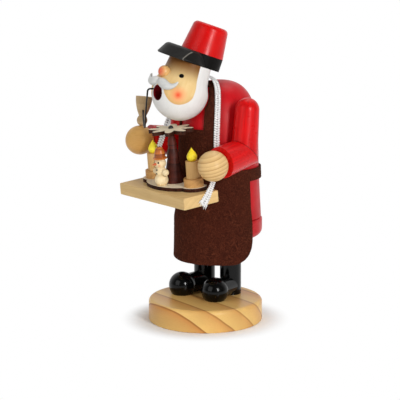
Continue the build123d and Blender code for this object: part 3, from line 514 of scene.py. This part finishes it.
def dress_lacquered_wood():
    """Coat, arms, hat, legs, shoes and the small painted pieces."""
    coat = lacquer(
        "coat_red", paint(202, 18, 28), paint(178, 10, 18), roughness=0.4, streak=0.3,
        center=(COAT_X, COAT_Y, SEAM_Z), bump=0.03, Specular_IOR_Level=0.19,
    )
    dress(coat, "coat_body", "coat_hem")
    for side, name, hand in ((1, "left", LEFT_HAND), (-1, "right", RIGHT_HAND)):
        elbow = Vector((COAT_X + side * ELBOW_SIDE, ELBOW_Y, ELBOW_Z))
        upper = Vector(UPPER_ARM_WAY)
        fore = (Vector(hand) - elbow).normalized()
        mitre = (upper - fore).normalized()
        for part, run in (("_upper_arm", upper), ("_forearm", fore)):
            sleeve = lacquer(
                name + part + "_red", paint(222, 12, 14), paint(186, 6, 8), roughness=0.3, streak=0.8,
                center=elbow, axis=run, bump=0.09, Specular_IOR_Level=0.2,
            )
            joint_line(sleeve, elbow, mitre, paint(84, 4, 6))
            dress(sleeve, name + part)

    on_hat = {"center": HAT_CENTER, "axis": HAT_AXIS}
    crown = lacquer(
        "hat_red", paint(218, 12, 9), paint(198, 7, 6), roughness=0.3, streak=0.25, bump=0.02,
        Specular_IOR_Level=0.2, **on_hat,
    )
    dress(crown, "hat_crown")
    visor = lacquer(
        "visor_black", paint(44, 43, 41), paint(32, 31, 30), roughness=0.46, streak=0.3, bump=0.03,
        Specular_IOR_Level=0.16, **on_hat,
    )
    visor_seam(visor, paint(150, 144, 134), paint(22, 20, 18))
    dress(visor, "hat_visor")
    band = lacquer(
        "band_black", paint(24, 22, 20), paint(15, 14, 13), roughness=0.46, streak=0.3, bump=0.03,
        Specular_IOR_Level=0.06, **on_hat,
    )
    dress(band, "hat_band")

    boots = lacquer(
        "boot_black", paint(7, 7, 6), paint(3, 3, 3), roughness=0.14, streak=0.2, bump=0.01,
        Specular_IOR_Level=0.22,
    )
    dress(boots, "left_leg", "right_leg", "left_shoe", "right_shoe")
    whiskers = lacquer(
        "moustache_white", paint(222, 222, 218), paint(202, 203, 200), roughness=0.42, streak=0.4,
        center=HEAD_CENTER, axis=(1, 0, 0), bump=0.04,
    )
    dress(whiskers, "moustache")
    flame = lacquer(
        "flame_yellow", paint(255, 240, 66), paint(240, 210, 38), roughness=0.36, streak=0.3, bump=0.03,
        Specular_IOR_Level=0.3,
    )
    dress(flame, "left_flame", "right_flame")
    carrot = lacquer(
        "carrot_orange", paint(224, 112, 60), paint(196, 84, 40), roughness=0.42, streak=0.3, bump=0.02,
    )
    dress(carrot, "snowman_nose")


# The painted face in the head's own degrees round from the front and millimetres: its side edge and
# brow line, and the oval of each cheek
FACE_EDGE = 82.5
BROW_LINE = -2.0
CHEEK_TURN, CHEEK_HALF_TURN = 50.0, 32.5
CHEEK_DROP, CHEEK_HALF_HEIGHT = 2.0, 8.4
BLUSH_PLACE = (13.58, -10.8, -4.72)


def dress_head():
    """The painted head: skin with painted hat shade, blushed cheeks, white beard and hair, and the dark red
    mouth.
    """
    material, tree, shader = new_material("painted_head", 0.36, Specular_IOR_Level=0.12)
    inputs = {
        "Vector": object_place(tree), "Location": metres(HEAD_CENTER),
        "Rotation": Euler((-math.radians(HEAD_LEAN), 0, 0)),
    }
    place = node(tree, "ShaderNodeMapping", inputs, vector_type="TEXTURE").outputs[0]
    waver = calc(tree, "SUBTRACT", speckle(tree, place, 110, 2.0), 0.5)
    axes = node(tree, "ShaderNodeSeparateXYZ", {0: place}).outputs
    side = calc(tree, "ABSOLUTE", axes[0])
    height = calc(tree, "MULTIPLY_ADD", waver, 0.8 * MM, axes[2])
    turn = calc(tree, "ARCTAN2", side, calc(tree, "MULTIPLY", axes[1], -1.0))
    turn = calc(tree, "MULTIPLY_ADD", waver, 0.05, turn)
    face_edge = math.radians(FACE_EDGE)
    brow = calc(
        tree, "MINIMUM",
        ramp(tree, height, (BROW_LINE - 0.3) * MM, (BROW_LINE + 0.3) * MM),
        ramp(tree, turn, face_edge - 0.018, face_edge + 0.018, 1.0, 0.0),
    )
    across = calc(tree, "SUBTRACT", turn, math.radians(CHEEK_TURN))
    across = calc(tree, "DIVIDE", across, math.radians(CHEEK_HALF_TURN))
    down = calc(tree, "DIVIDE", calc(tree, "ADD", height, CHEEK_DROP * MM), CHEEK_HALF_HEIGHT * MM)
    oval = calc(tree, "ADD", calc(tree, "MULTIPLY", across, across), calc(tree, "MULTIPLY", down, down))
    skin_mask = calc(tree, "MAXIMUM", brow, ramp(tree, oval, 0.94, 1.06, 1.0, 0.0))
    mirrored = node(tree, "ShaderNodeCombineXYZ", {0: side, 1: axes[1], 2: axes[2]}).outputs[0]
    coat = use(tree, brushed_paint, {"Vector": place, "Streak": 0.35})
    skin = mottle(tree, coat["Tone"], paint(224, 186, 122), paint(232, 201, 144))
    # Darker brown towards the hat: painted shade under the brim, partly the head's own airbrushed tan
    hat_shade_and_airbrush = ramp(tree, axes[2], 4.0 * MM, 16.5 * MM, 0.0, 0.95)
    skin = blend_colours(tree, hat_shade_and_airbrush, skin, paint(108, 62, 20))
    rim = calc(tree, "MULTIPLY", ramp(tree, oval, 0.45, 1.0), ramp(tree, height, -1.7 * MM, -3.7 * MM))
    skin = blend_colours(tree, calc(tree, "MULTIPLY", rim, 0.5), skin, paint(206, 152, 82))
    cheek = metres(BLUSH_PLACE)
    for radius, softness, cover, colour in (
        (3.8, 3.4, 0.75, paint(246, 142, 92)), (1.3, 2.0, 0.95, paint(238, 62, 40)),
    ):
        inputs = {"Vector": mirrored, "Center": cheek, "Radius": radius * MM, "Softness": softness * MM}
        blush = use(tree, painted_spot, inputs)
        skin = blend_colours(tree, calc(tree, "MULTIPLY", blush["Spot"], cover), skin, colour)
    beard = mottle(tree, coat["Tone"], paint(224, 222, 218), paint(234, 232, 229))
    tone = blend_colours(tree, skin_mask, beard, skin)
    drop = calc(tree, "ADD", axes[2], MOUTH_DROP * MM)
    off_bore = node(tree, "ShaderNodeCombineXYZ", {0: axes[0], 2: drop}).outputs[0]
    bore = measure(tree, "LENGTH", off_bore)
    mouth = calc(
        tree, "MULTIPLY",
        ramp(tree, bore, (MOUTH_RADIUS - 0.1) * MM, (MOUTH_RADIUS + 0.1) * MM, 1.0, 0.0),
        ramp(tree, axes[1], -4.0 * MM, -2.0 * MM, 1.0, 0.0),
    )
    tone = blend_colours(tree, mouth, tone, paint(112, 14, 22))
    plug(tree, shader["Base Color"], tone)
    plug(tree, shader["Roughness"], ramp(tree, coat["Gloss"], 0.25, 0.75, 0.3, 0.44))
    ridge = calc(tree, "MULTIPLY_ADD", skin_mask, -1.2, coat["Ripple"])
    add_bump(tree, shader, ridge, 0.05)
    dress(material, "head")

    lean = math.radians(HEAD_LEAN)
    ahead = Vector((0, -math.cos(lean), math.sin(lean)))
    rise = Vector((0, math.sin(lean), math.cos(lean)))
    tip = Vector(HEAD_CENTER) + (NOSE_REACH + NOSE_RADIUS) * ahead + (NOSE_RISE - 1.2) * rise
    nose_skin = lacquer(
        "blushed_nose", paint(232, 188, 122), paint(218, 168, 100), roughness=0.34, streak=0.3, bump=0.02,
    )
    dab(nose_skin, metres(tip), radius=3.0, softness=2.2, colour=paint(222, 84, 52), strength=0.9)
    dress(nose_skin, "nose")


def dress_small_pieces():
    """Sawn plates with scorched edges, the metal pieces and the rotor's pin."""
    for name, part, center in (
        ("cloud_ply", "pyramid_plate", TRAY_CENTER),
        ("rotor_ply", "rotor", ROTOR_CENTER),
    ):
        material, tree, shader = new_material(name, 0.58, Specular_IOR_Level=0.15)
        place = turned_place(tree, center, (1, 0, 0))
        inputs = {"Vector": place, "Ring Width": 3.4 * MM, "Wobble": 2.0 * MM, "Fade": 1.6}
        grain = use(tree, growth_rings, inputs)
        late = calc(tree, "MULTIPLY", grain["Late Wood"], 0.3)
        face = blend_colours(tree, late, paint(242, 230, 204), paint(214, 188, 144))
        face = blend_colours(tree, calc(tree, "MULTIPLY", grain["Fibre"], 0.2), face, paint(206, 178, 132))
        edge = use(tree, burnt_edge, {"Vector": place, "Axis": tray_axis})
        char = mottle(tree, edge["Smoke"], paint(34, 14, 8), paint(72, 34, 18))
        plug(tree, shader["Base Color"], blend_colours(tree, edge["Scorch"], face, char))
        plug(tree, shader["Roughness"], ramp(tree, edge["Smoke"], 0.2, 0.8, 0.5, 0.72))
        height = calc(tree, "MULTIPLY_ADD", edge["Smoke"], edge["Scorch"], grain["Fibre"])
        add_bump(tree, shader, height, 0.05)
        dress(material, part)

    for name, part, pale, dark, roughness, metal in (
        ("plate_brass", "incense_plate", paint(212, 178, 104), paint(164, 128, 62), 0.32, 1.0),
        ("nail_steel", "plate_nail", paint(170, 170, 172), paint(118, 118, 120), 0.3, 1.0),
        ("stem_wire", "pipe_stem", paint(70, 68, 66), paint(38, 36, 35), 0.34, 1.0),
        ("pin_black", "rotor_pin", paint(44, 42, 40), paint(22, 21, 20), 0.38, 0.0),
    ):
        material, tree, shader = new_material(name, roughness, Metallic=metal)
        coat = use(tree, brushed_paint, {"Vector": object_place(tree), "Streak": 0.5})
        plug(tree, shader["Base Color"], mottle(tree, coat["Tone"], dark, pale))
        gloss = ramp(tree, coat["Gloss"], 0.25, 0.75, roughness - 0.06, roughness + 0.1)
        plug(tree, shader["Roughness"], gloss)
        add_bump(tree, shader, coat["Ripple"], 0.015)
        dress(material, part)


dress_turned_wood()
dress_lacquered_wood()
dress_head()
dress_small_pieces()


def make_felt():
    """Dark brown wool felt with curled fibres."""
    material, tree, shader = new_material(
        "brown_felt", 0.95, Sheen_Weight=0.08, Sheen_Roughness=0.6, Sheen_Tint=paint(150, 110, 86),
        Specular_IOR_Level=0.05,
    )
    wool = use(tree, felt_fibres, {"Vector": object_place(tree)})
    tone = blend_colours(tree, wool["Tuft"], paint(54, 22, 14), paint(92, 46, 30))
    tone = blend_colours(tree, ramp(tree, wool["Patch"], 0.3, 0.7, 0.0, 0.4), tone, paint(70, 30, 19))
    plug(tree, shader["Base Color"], tone)
    add_bump(tree, shader, wool["Nap"], 0.35)
    return material


def make_braid_thread():
    """White braid thread, a little silvery, with a fine twist."""
    material, tree, shader = new_material("braid_thread", 0.6, Sheen_Weight=0.15, Sheen_Roughness=0.4)
    twist = speckle(tree, stretched(tree, object_place(tree), (1, 1, 0.5)), 2600, 2.0)
    plug(tree, shader["Base Color"], mottle(tree, twist, paint(222, 221, 220), paint(246, 246, 245)))
    add_bump(tree, shader, twist, 0.06)
    return material


def make_braid_gap_shade():
    """The grey ground under the stitches, darker than the thread: painted shade in the braid's eyelets."""
    material, tree, shader = new_material("braid_gap_shade", 0.8)
    fleck = speckle(tree, object_place(tree), 1800, 2.0)
    plug(tree, shader["Base Color"], mottle(tree, fleck, paint(82, 78, 76), paint(132, 126, 122)))
    add_bump(tree, shader, fleck, 0.05)
    return material


def make_bead_black():
    """Glossy black paint of the eyes and buttons."""
    return lacquer(
        "bead_black", paint(10, 9, 9), paint(6, 5, 5), roughness=0.3, streak=0.2, bump=0.01,
        Specular_IOR_Level=0.15,
    )


felt = make_felt()
braid_thread = make_braid_thread()
braid_gap_shade = make_braid_gap_shade()
bead_black = make_bead_black()


# New pieces

def finish_piece(name, mesh, materials):
    """Turn a bmesh into a piece that rides on the figure."""
    data = bpy.data.meshes.new(name)
    mesh.to_mesh(data)
    mesh.free()
    for material in materials:
        data.materials.append(material)
    for face in data.polygons:
        face.use_smooth = True
    piece = bpy.data.objects.new(name, data)
    bpy.context.scene.collection.objects.link(piece)
    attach(piece, "figure")
    return piece


# The felt: how far it stands off the coat, its skirt below the seam, its flat scale and its edges, in
# millimetres above the seam or from the coat's axis, and its half angles round from the front
FELT_STANDOFF = 0.15
FELT_SKIRT = [(28.35, -26.3), (28.25, 0.0)]
FELT_REACH = 28.0
FELT_CELL = 1.1
FELT_THICKNESS = 1.2
SKIRT_ANGLE, BIB_ANGLE, STRAP_ANGLE, TIE_ANGLE = 97.0, 47.0, 28.0, 97.3
TIE_BOTTOM, WAIST_HEIGHT, BIB_HEIGHT = 26.3, 33.9, 59.7
NECK_RADIUS, LOOP_RADIUS = 14.0, 8.5
SKIRT_CORNER = 15.0
SKIRT_WAVE, WAVE_REACH = 0.9, 30.0
HEAD_GAP = 1.9


def coat_profile():
    """Inner line of the felt, from the skirt's edge to the neck: radius and height in millimetres."""
    tree = BVHTree.FromObject(nodes["coat_body"], bpy.context.evaluated_depsgraph_get())
    line = list(FELT_SKIRT)
    axis = Vector((COAT_X, COAT_Y, SEAM_Z))
    for step in range(34):
        height = 9.0 + step * 1.4
        hit = tree.ray_cast(metres(axis + Vector((0, 60, height))), Vector((0, -1, 0)))[0]
        line.append((hit.y / MM - COAT_Y + FELT_STANDOFF, height))
    pivot = axis + Vector((0, 0, DOME_HEIGHT))
    for step in range(1, 27):
        rise = math.radians(step * 3.0)
        way = Vector((0, math.cos(rise), math.sin(rise)))
        hit = tree.ray_cast(metres(pivot + 60 * way), -way)[0] / MM
        out = hit - pivot + FELT_STANDOFF * way
        line.append((out.y, DOME_HEIGHT + out.z))
    return line


felt_line = coat_profile()
felt_run = [0.0]
for before, after in zip(felt_line, felt_line[1:]):
    felt_run.append(felt_run[-1] + math.dist(before, after))


def run_at(value, column):
    """How far up the felt's line a radius (column 0) or height (column 1) lies."""
    for place in range(len(felt_line) - 1):
        first, second = felt_line[place][column], felt_line[place + 1][column]
        above_neck = column == 1 or felt_line[place][1] > 60
        if above_neck and min(first, second) <= value <= max(first, second):
            share = (value - first) / (second - first)
            return felt_run[place] + share * (felt_run[place + 1] - felt_run[place])
    return felt_run[-1]


def wrap(angle, run, lift=0.0):
    """A place on the coat: an angle round from the front and a run up the felt's line."""
    place = 0
    while place < len(felt_run) - 2 and felt_run[place + 1] < run:
        place += 1
    share = (run - felt_run[place]) / (felt_run[place + 1] - felt_run[place])
    radius = felt_line[place][0] + share * (felt_line[place + 1][0] - felt_line[place][0]) + lift
    height = felt_line[place][1] + share * (felt_line[place + 1][1] - felt_line[place][1])
    return Vector((COAT_X + radius * math.sin(angle), COAT_Y - radius * math.cos(angle), SEAM_Z + height))


def wrap_felt(mesh, wave):
    """Cut a flat felt pattern into small cells and lay it round the coat."""
    for axis, normal in enumerate((Vector((1, 0, 0)), Vector((0, 1, 0)))):
        low = min(vert.co[axis] for vert in mesh.verts)
        high = max(vert.co[axis] for vert in mesh.verts)
        for cut in range(1, int((high - low) / FELT_CELL)):
            geom = mesh.verts[:] + mesh.edges[:] + mesh.faces[:]
            spot = normal * (low + cut * FELT_CELL)
            bmesh.ops.bisect_plane(mesh, geom=geom, plane_co=spot, plane_no=normal, dist=1e-5)
    head = Vector(HEAD_CENTER)
    for vert in mesh.verts:
        angle, run = vert.co.x / FELT_REACH, vert.co.y
        grain = Vector((vert.co.x, vert.co.y, 0)) * 0.55
        lift = 0.12 + 0.16 * noise.noise(grain) + 0.08 * noise.noise(grain * 2.7)
        drop = max(0.0, 1 - run / WAVE_REACH)
        lift += wave * drop * drop * (1 + math.sin(5.0 * angle + 0.6)) * 0.5
        place = wrap(angle, run, max(0.0, lift))
        away = place - head
        if away.length < HEAD_RADIUS + HEAD_GAP:
            place = head + away.normalized() * (HEAD_RADIUS + HEAD_GAP)
        vert.co = metres(place)
    bmesh.ops.recalc_face_normals(mesh, faces=mesh.faces[:])


def thicken(piece):
    """Give a sheet its thickness, outwards, and soften its cut edges."""
    wall = piece.modifiers.new("felt_thickness", "SOLIDIFY")
    wall.thickness = FELT_THICKNESS * MM
    wall.offset = 1.0
    soft = piece.modifiers.new("felt_edge", "BEVEL")
    soft.width = 0.3 * MM
    soft.segments = 2
    soft.limit_method = "ANGLE"
    soft.angle_limit = math.radians(50)


def make_apron():
    """The felt apron, cut flat: skirt with round corners, bib, neck straps and the loop behind the head."""
    half, bib, strap = (FELT_REACH * math.radians(angle) for angle in (SKIRT_ANGLE, BIB_ANGLE, STRAP_ANGLE))
    waist, top = run_at(WAIST_HEIGHT, 1), run_at(BIB_HEIGHT, 1)
    neck, end = run_at(NECK_RADIUS, 0), run_at(LOOP_RADIUS, 0)
    mesh = bmesh.new()
    spots = {}

    def spot(x, y):
        if (x, y) not in spots:
            spots[(x, y)] = mesh.verts.new((x, y, 0))
        return spots[(x, y)]

    skirt = [(-half, 0), (half, 0), (half, waist), (bib, waist), (-bib, waist), (-half, waist)]
    chest = [(-bib, waist), (bib, waist), (bib, top), (strap, top), (-strap, top), (-bib, top)]
    left = [(strap, top), (bib, top), (bib, neck), (strap, neck)]
    right = [(-bib, top), (-strap, top), (-strap, neck), (-bib, neck)]
    loop = [(-bib, neck), (-strap, neck), (strap, neck), (bib, neck), (bib, end), (-bib, end)]
    for outline in (skirt, chest, left, right, loop):
        mesh.faces.new([spot(*place) for place in outline])
    bmesh.ops.bevel(
        mesh, geom=[spot(-half, 0), spot(half, 0)], offset=SKIRT_CORNER, offset_type="OFFSET",
        affect="VERTICES", segments=10, profile=0.5, material=-1,
    )
    wrap_felt(mesh, SKIRT_WAVE)
    piece = finish_piece("felt_apron", mesh, [felt])
    thicken(piece)
    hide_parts("apron")
    return piece


def make_tie():
    """The felt tie round the back, from one side of the apron to the other."""
    start, end = (FELT_REACH * math.radians(angle) for angle in (TIE_ANGLE, 360 - TIE_ANGLE))
    low, high = run_at(TIE_BOTTOM, 1), run_at(WAIST_HEIGHT, 1)
    mesh = bmesh.new()
    corners = ((start, low, 0), (end, low, 0), (end, high, 0), (start, high, 0))
    mesh.faces.new([mesh.verts.new(place) for place in corners])
    wrap_felt(mesh, 0.0)
    piece = finish_piece("felt_tie", mesh, [felt])
    thicken(piece)
    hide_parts("apron_tie")
    return piece


# The braid's route from the tray's left end, round the neck, to its right end, in millimetres
STRAP_ROUTE = (
    (26.1, -22.1, 82.3), (26.5, -15.6, 90.6), (12.7, -1.2, 104.2), (12.0, -0.4, 124.4), (8.8, 3.2, 141.6),
    (2.4, 7.7, 153.0), (-8.6, 8.5, 157.0), (-20.0, 5.2, 153.0), (-28.2, -6.2, 131.5), (-30.4, -11.6, 115.0),
    (-37.0, -13.0, 100.5), (-43.8, -12.4, 91.5), (-43.3, -13.4, 82.3),
)
# The way that the braid's flat side faces at each of those points
STRAP_FACING = (
    (1, 0, 0), (0.97, -0.25, 0), (0.74, -0.68, 0), (0.74, -0.67, 0.05), (0.62, -0.5, 0.6),
    (0.3, 0, 0.95), (0, 0.2, 0.98), (-0.3, 0, 0.95), (0.5, -0.85, 0.1), (0.6, -0.8, 0),
    (0.2, -0.98, 0), (-0.8, -0.6, 0), (-1, 0, 0),
)
BRAID_WIDTH = 3.9
BRAID_STEP = 1.5
BRAID_FLARE = 0.7
FLARE_REACH = 12.0
GROUND_SHARE = 0.8
GROUND_THICKNESS = 0.3
STITCH_OFFSET, STITCH_LENGTH = 0.46, 0.64
STITCH_RISE = 0.46
STITCH_SLANT = 30.0
FRINGE_THREADS = 22


def read_spline(name, places):
    """The points of a smooth line that has the places as its control points, in metres."""
    curve = bpy.data.curves.new(name, "CURVE")
    curve.dimensions = "3D"
    spline = curve.splines.new("NURBS")
    spline.points.add(len(places) - 1)
    for point, place in zip(spline.points, places):
        point.co = (*metres(place), 1.0)
    spline.order_u = 3
    spline.use_endpoint_u = True
    spline.resolution_u = 24
    holder = bpy.data.objects.new(name, curve)
    line = bpy.data.meshes.new_from_object(holder)
    points = [vert.co.copy() for vert in line.vertices]
    bpy.data.objects.remove(holder)
    bpy.data.curves.remove(curve)
    bpy.data.meshes.remove(line)
    return points


def braid_frames(points, step):
    """Places a step apart along the braid, each with its direction, side, facing and half width."""
    facings = [Vector(way).normalized() for way in STRAP_FACING]
    runs = [0.0]
    for before, after in zip(points, points[1:]):
        runs.append(runs[-1] + (after - before).length)
    frames = []
    index = 0
    for count in range(int(runs[-1] / step) + 1):
        run = count * step
        while index < len(runs) - 2 and runs[index + 1] < run:
            index += 1
        share = (run - runs[index]) / (runs[index + 1] - runs[index])
        place = points[index].lerp(points[index + 1], share)
        ahead = (points[index + 1] - points[index]).normalized()
        spot = (index + share) / (len(points) - 1) * (len(facings) - 1)
        first = min(int(spot), len(facings) - 2)
        facing = facings[first].lerp(facings[first + 1], spot - first)
        side = ahead.cross(facing).normalized()
        near_end = max(0.0, 1 - min(run, runs[-1] - run) / (FLARE_REACH * MM))
        half = 0.5 * BRAID_WIDTH * MM * (1 + BRAID_FLARE * near_end)
        frames.append((place, ahead, side, side.cross(ahead), half))
    return frames, runs[-1]


def add_braid_ground(mesh, frames):
    """The flat ground under the stitches: one edge, extruded from place to place."""
    place, ahead, side, facing, half = frames[0]
    ends = [place + side * half * way for way in (-GROUND_SHARE, GROUND_SHARE)]
    edge = mesh.edges.new([mesh.verts.new(end) for end in ends])
    for place, ahead, side, facing, half in frames[1:]:
        made = bmesh.ops.extrude_edge_only(mesh, edges=[edge])["geom"]
        verts = [item for item in made if isinstance(item, bmesh.types.BMVert)]
        edge = mesh.edges.get(verts)
        for vert in verts:
            way = math.copysign(GROUND_SHARE, (vert.co - place).dot(side))
            vert.co = place + side * half * way
    bmesh.ops.recalc_face_normals(mesh, faces=mesh.faces[:])
    bmesh.ops.solidify(mesh, geom=mesh.faces[:], thickness=GROUND_THICKNESS * MM)


def add_braid_stitches(mesh, frames):
    """Two columns of slanted stitches that meet in a row of small eyelets."""
    for place, ahead, side, facing, half in frames:
        turn = Matrix((side, ahead, facing)).transposed().to_4x4()
        for column in (1, -1):
            slant = Matrix.Rotation(math.radians(STITCH_SLANT * column), 4, "Z")
            size = Matrix.Diagonal((STITCH_LENGTH * half, 0.49 * BRAID_STEP * MM, STITCH_RISE * MM, 1))
            spot = Matrix.Translation(place + side * column * STITCH_OFFSET * half)
            matrix = spot @ turn @ slant @ size
            bmesh.ops.create_uvsphere(mesh, u_segments=8, v_segments=5, radius=1.0, matrix=matrix)


def add_braid_fringe(mesh, frames):
    """Frayed threads past both ends of the braid."""
    fray = random.Random(7)
    for end, heading in ((frames[0], -1), (frames[-1], 1)):
        place, ahead, side, facing, half = end
        for thread in range(FRINGE_THREADS):
            across = (thread / (FRINGE_THREADS - 1) - 0.5) * 1.9 * half
            way = ahead * heading + side * fray.uniform(-0.4, 0.4) + facing * fray.uniform(0.0, 0.3)
            way.normalize()
            long = fray.uniform(1.4, 3.4) * MM
            turn = way.to_track_quat("Z", "Y").to_matrix().to_4x4()
            root = place + side * across + way * long * 0.4
            bmesh.ops.create_cone(
                mesh, cap_ends=True, segments=5, radius1=0.22 * MM, radius2=0.08 * MM, depth=long,
                matrix=Matrix.Translation(root) @ turn,
            )


def make_braid():
    """The braided strap: a ground band painted dark as the eyelets' shade, under raised white stitches,
    frayed at both ends.
    """
    points = read_spline("braid_route", STRAP_ROUTE)
    frames, length = braid_frames(points, BRAID_STEP * MM)
    mesh = bmesh.new()
    add_braid_ground(mesh, frames)
    ground = set(mesh.faces)
    add_braid_stitches(mesh, frames)
    add_braid_fringe(mesh, frames)
    # The ground's faces take the painted shade of the eyelets
    for face in mesh.faces:
        face.material_index = 1 if face in ground else 0
    piece = finish_piece("neck_braid", mesh, [braid_thread, braid_gap_shade])
    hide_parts("tray_strap")


BEAD_RISE = 0.3
EYE_RADIUS = 1.55
EYE_HEIGHT = 7.44
EYE_WAY = (11.06, -11.32)


def add_bead(mesh, place, outward, radius):
    """A low round bead of paint on a surface."""
    turn = outward.to_track_quat("Z", "Y").to_matrix().to_4x4()
    size = Matrix.Diagonal((radius * MM, radius * MM, BEAD_RISE * MM, 1))
    matrix = Matrix.Translation(place) @ turn @ size
    bmesh.ops.create_uvsphere(mesh, u_segments=20, v_segments=12, radius=1.0, matrix=matrix)


def make_eyes():
    """The figure's two painted eyes, slightly raised."""
    lean = Matrix.Rotation(-math.radians(HEAD_LEAN), 4, "X")
    face = BVHTree.FromObject(nodes["head"], bpy.context.evaluated_depsgraph_get())
    mesh = bmesh.new()
    axis = Vector(HEAD_CENTER) + lean @ Vector((0, 0, EYE_HEIGHT))
    for side in (1, -1):
        way = lean @ Vector((side * EYE_WAY[0], EYE_WAY[1], 0)).normalized()
        place, outward = face.ray_cast(metres(axis + 60 * way), -way)[:2]
        add_bead(mesh, place, outward, EYE_RADIUS)
    finish_piece("eye_dots", mesh, [bead_black])


def make_snowman_dots():
    """The snowman's eyes and buttons."""
    mesh = bmesh.new()
    for (height, radius), turn, rise, size in (
        (SNOW_HEAD, 34, 14, 0.6), (SNOW_HEAD, -34, 14, 0.6),
        (SNOW_CHEST, 4, 26, 0.55), (SNOW_CHEST, 4, -12, 0.55),
    ):
        place = snowman_point(height, radius, turn, rise)
        add_bead(mesh, place, tray_turn @ snowman_way(turn, rise), size)
    finish_piece("snowman_dots", mesh, [bead_black])


apron = make_apron()
tie = make_tie()
make_braid()
make_eyes()
make_snowman_dots()


# Camera, lights and floor

def make_camera():
    """The camera at the photograph's viewing angle."""
    data = bpy.data.cameras.new("camera")
    data.sensor_width = 36.0
    data.lens = CAMERA_LENS
    data.shift_x = CAMERA_SHIFT
    camera = bpy.data.objects.new("camera", data)
    camera.location = CAMERA_DISTANCE * view_near + CAMERA_HEIGHT * up
    camera.rotation_euler = (math.radians(90 - CAMERA_PITCH), 0, turn_angle)
    bpy.context.scene.collection.objects.link(camera)
    bpy.context.scene.camera = camera


def make_lamp(name, across, near, rise, power, width, height):
    """A soft lamp that looks at the figure's middle."""
    data = bpy.data.lights.new(name, "AREA")
    data.shape = "RECTANGLE"
    data.energy = power
    data.size = width
    data.size_y = height
    lamp = bpy.data.objects.new(name, data)
    lamp.location = across * view_right + near * view_near + rise * up
    lamp.rotation_euler = (Vector((0, 0, 0.1)) - lamp.location).to_track_quat("-Z", "Y").to_euler()
    bpy.context.scene.collection.objects.link(lamp)


def make_floor():
    """A plain pale floor that keeps the shadow and goes to white further off."""
    mesh = bmesh.new()
    bmesh.ops.create_grid(mesh, x_segments=1, y_segments=1, size=6.0)
    data = bpy.data.meshes.new("floor")
    mesh.to_mesh(data)
    mesh.free()
    floor = bpy.data.objects.new("floor", data)
    bpy.context.scene.collection.objects.link(floor)
    material, tree, shader = new_material("pale_floor", 0.9, Specular_IOR_Level=0.0)
    shader["Base Color"].default_value = (0.93, 0.93, 0.93, 1)
    far = measure(tree, "LENGTH", object_place(tree))
    path = node(tree, "ShaderNodeLightPath").outputs
    mirrored = calc(tree, "MAXIMUM", path["Is Glossy Ray"], path["Is Transmission Ray"])
    seen = calc(tree, "MAXIMUM", path["Is Camera Ray"], mirrored)
    factor = calc(tree, "MULTIPLY", ramp(tree, far, 0.037, 0.056), seen)
    white = node(tree, "ShaderNodeEmission", {"Color": (1, 1, 1, 1), "Strength": 1.0}).outputs[0]
    surface = tree.nodes["Principled BSDF"].outputs[0]
    mixed = node(tree, "ShaderNodeMixShader", {0: factor, 1: surface, 2: white}).outputs[0]
    plug(tree, tree.nodes["Material Output"].inputs["Surface"], mixed)
    data.materials.append(material)


def make_world():
    """Even soft light from all sides, white to the eye and to reflections of the far side of the room."""
    world = bpy.data.worlds.new("soft_room")
    world.use_nodes = True
    tree = world.node_tree
    sky = tree.nodes["Background"]
    sky.inputs["Color"].default_value = (1, 1, 1, 1)
    way = node(tree, "ShaderNodeTexCoord").outputs["Generated"]
    room = ramp(tree, measure(tree, "DOT_PRODUCT", way, -view_near), -0.3, 0.6, 0.12, 1.0)
    path = node(tree, "ShaderNodeLightPath").outputs
    mirrored = calc(tree, "MAXIMUM", path["Is Glossy Ray"], path["Is Transmission Ray"])
    light = node(tree, "ShaderNodeMix", {0: mirrored, 2: 0.34, 3: room}, data_type="FLOAT").outputs[0]
    plug(tree, sky.inputs["Strength"], calc(tree, "MAXIMUM", light, path["Is Camera Ray"]))
    bpy.context.scene.world = world


make_camera()
make_lamp("key_lamp", across=0.46, near=0.84, rise=0.4, power=5.6, width=0.13, height=0.34)
make_lamp("fill_lamp", across=-0.7, near=0.7, rise=0.5, power=2.4, width=0.7, height=0.7)
make_lamp("top_lamp", across=0.2, near=-0.3, rise=1.3, power=4.0, width=0.8, height=0.8)
make_floor()
make_world()
bpy.context.scene.view_settings.view_transform = "Standard"
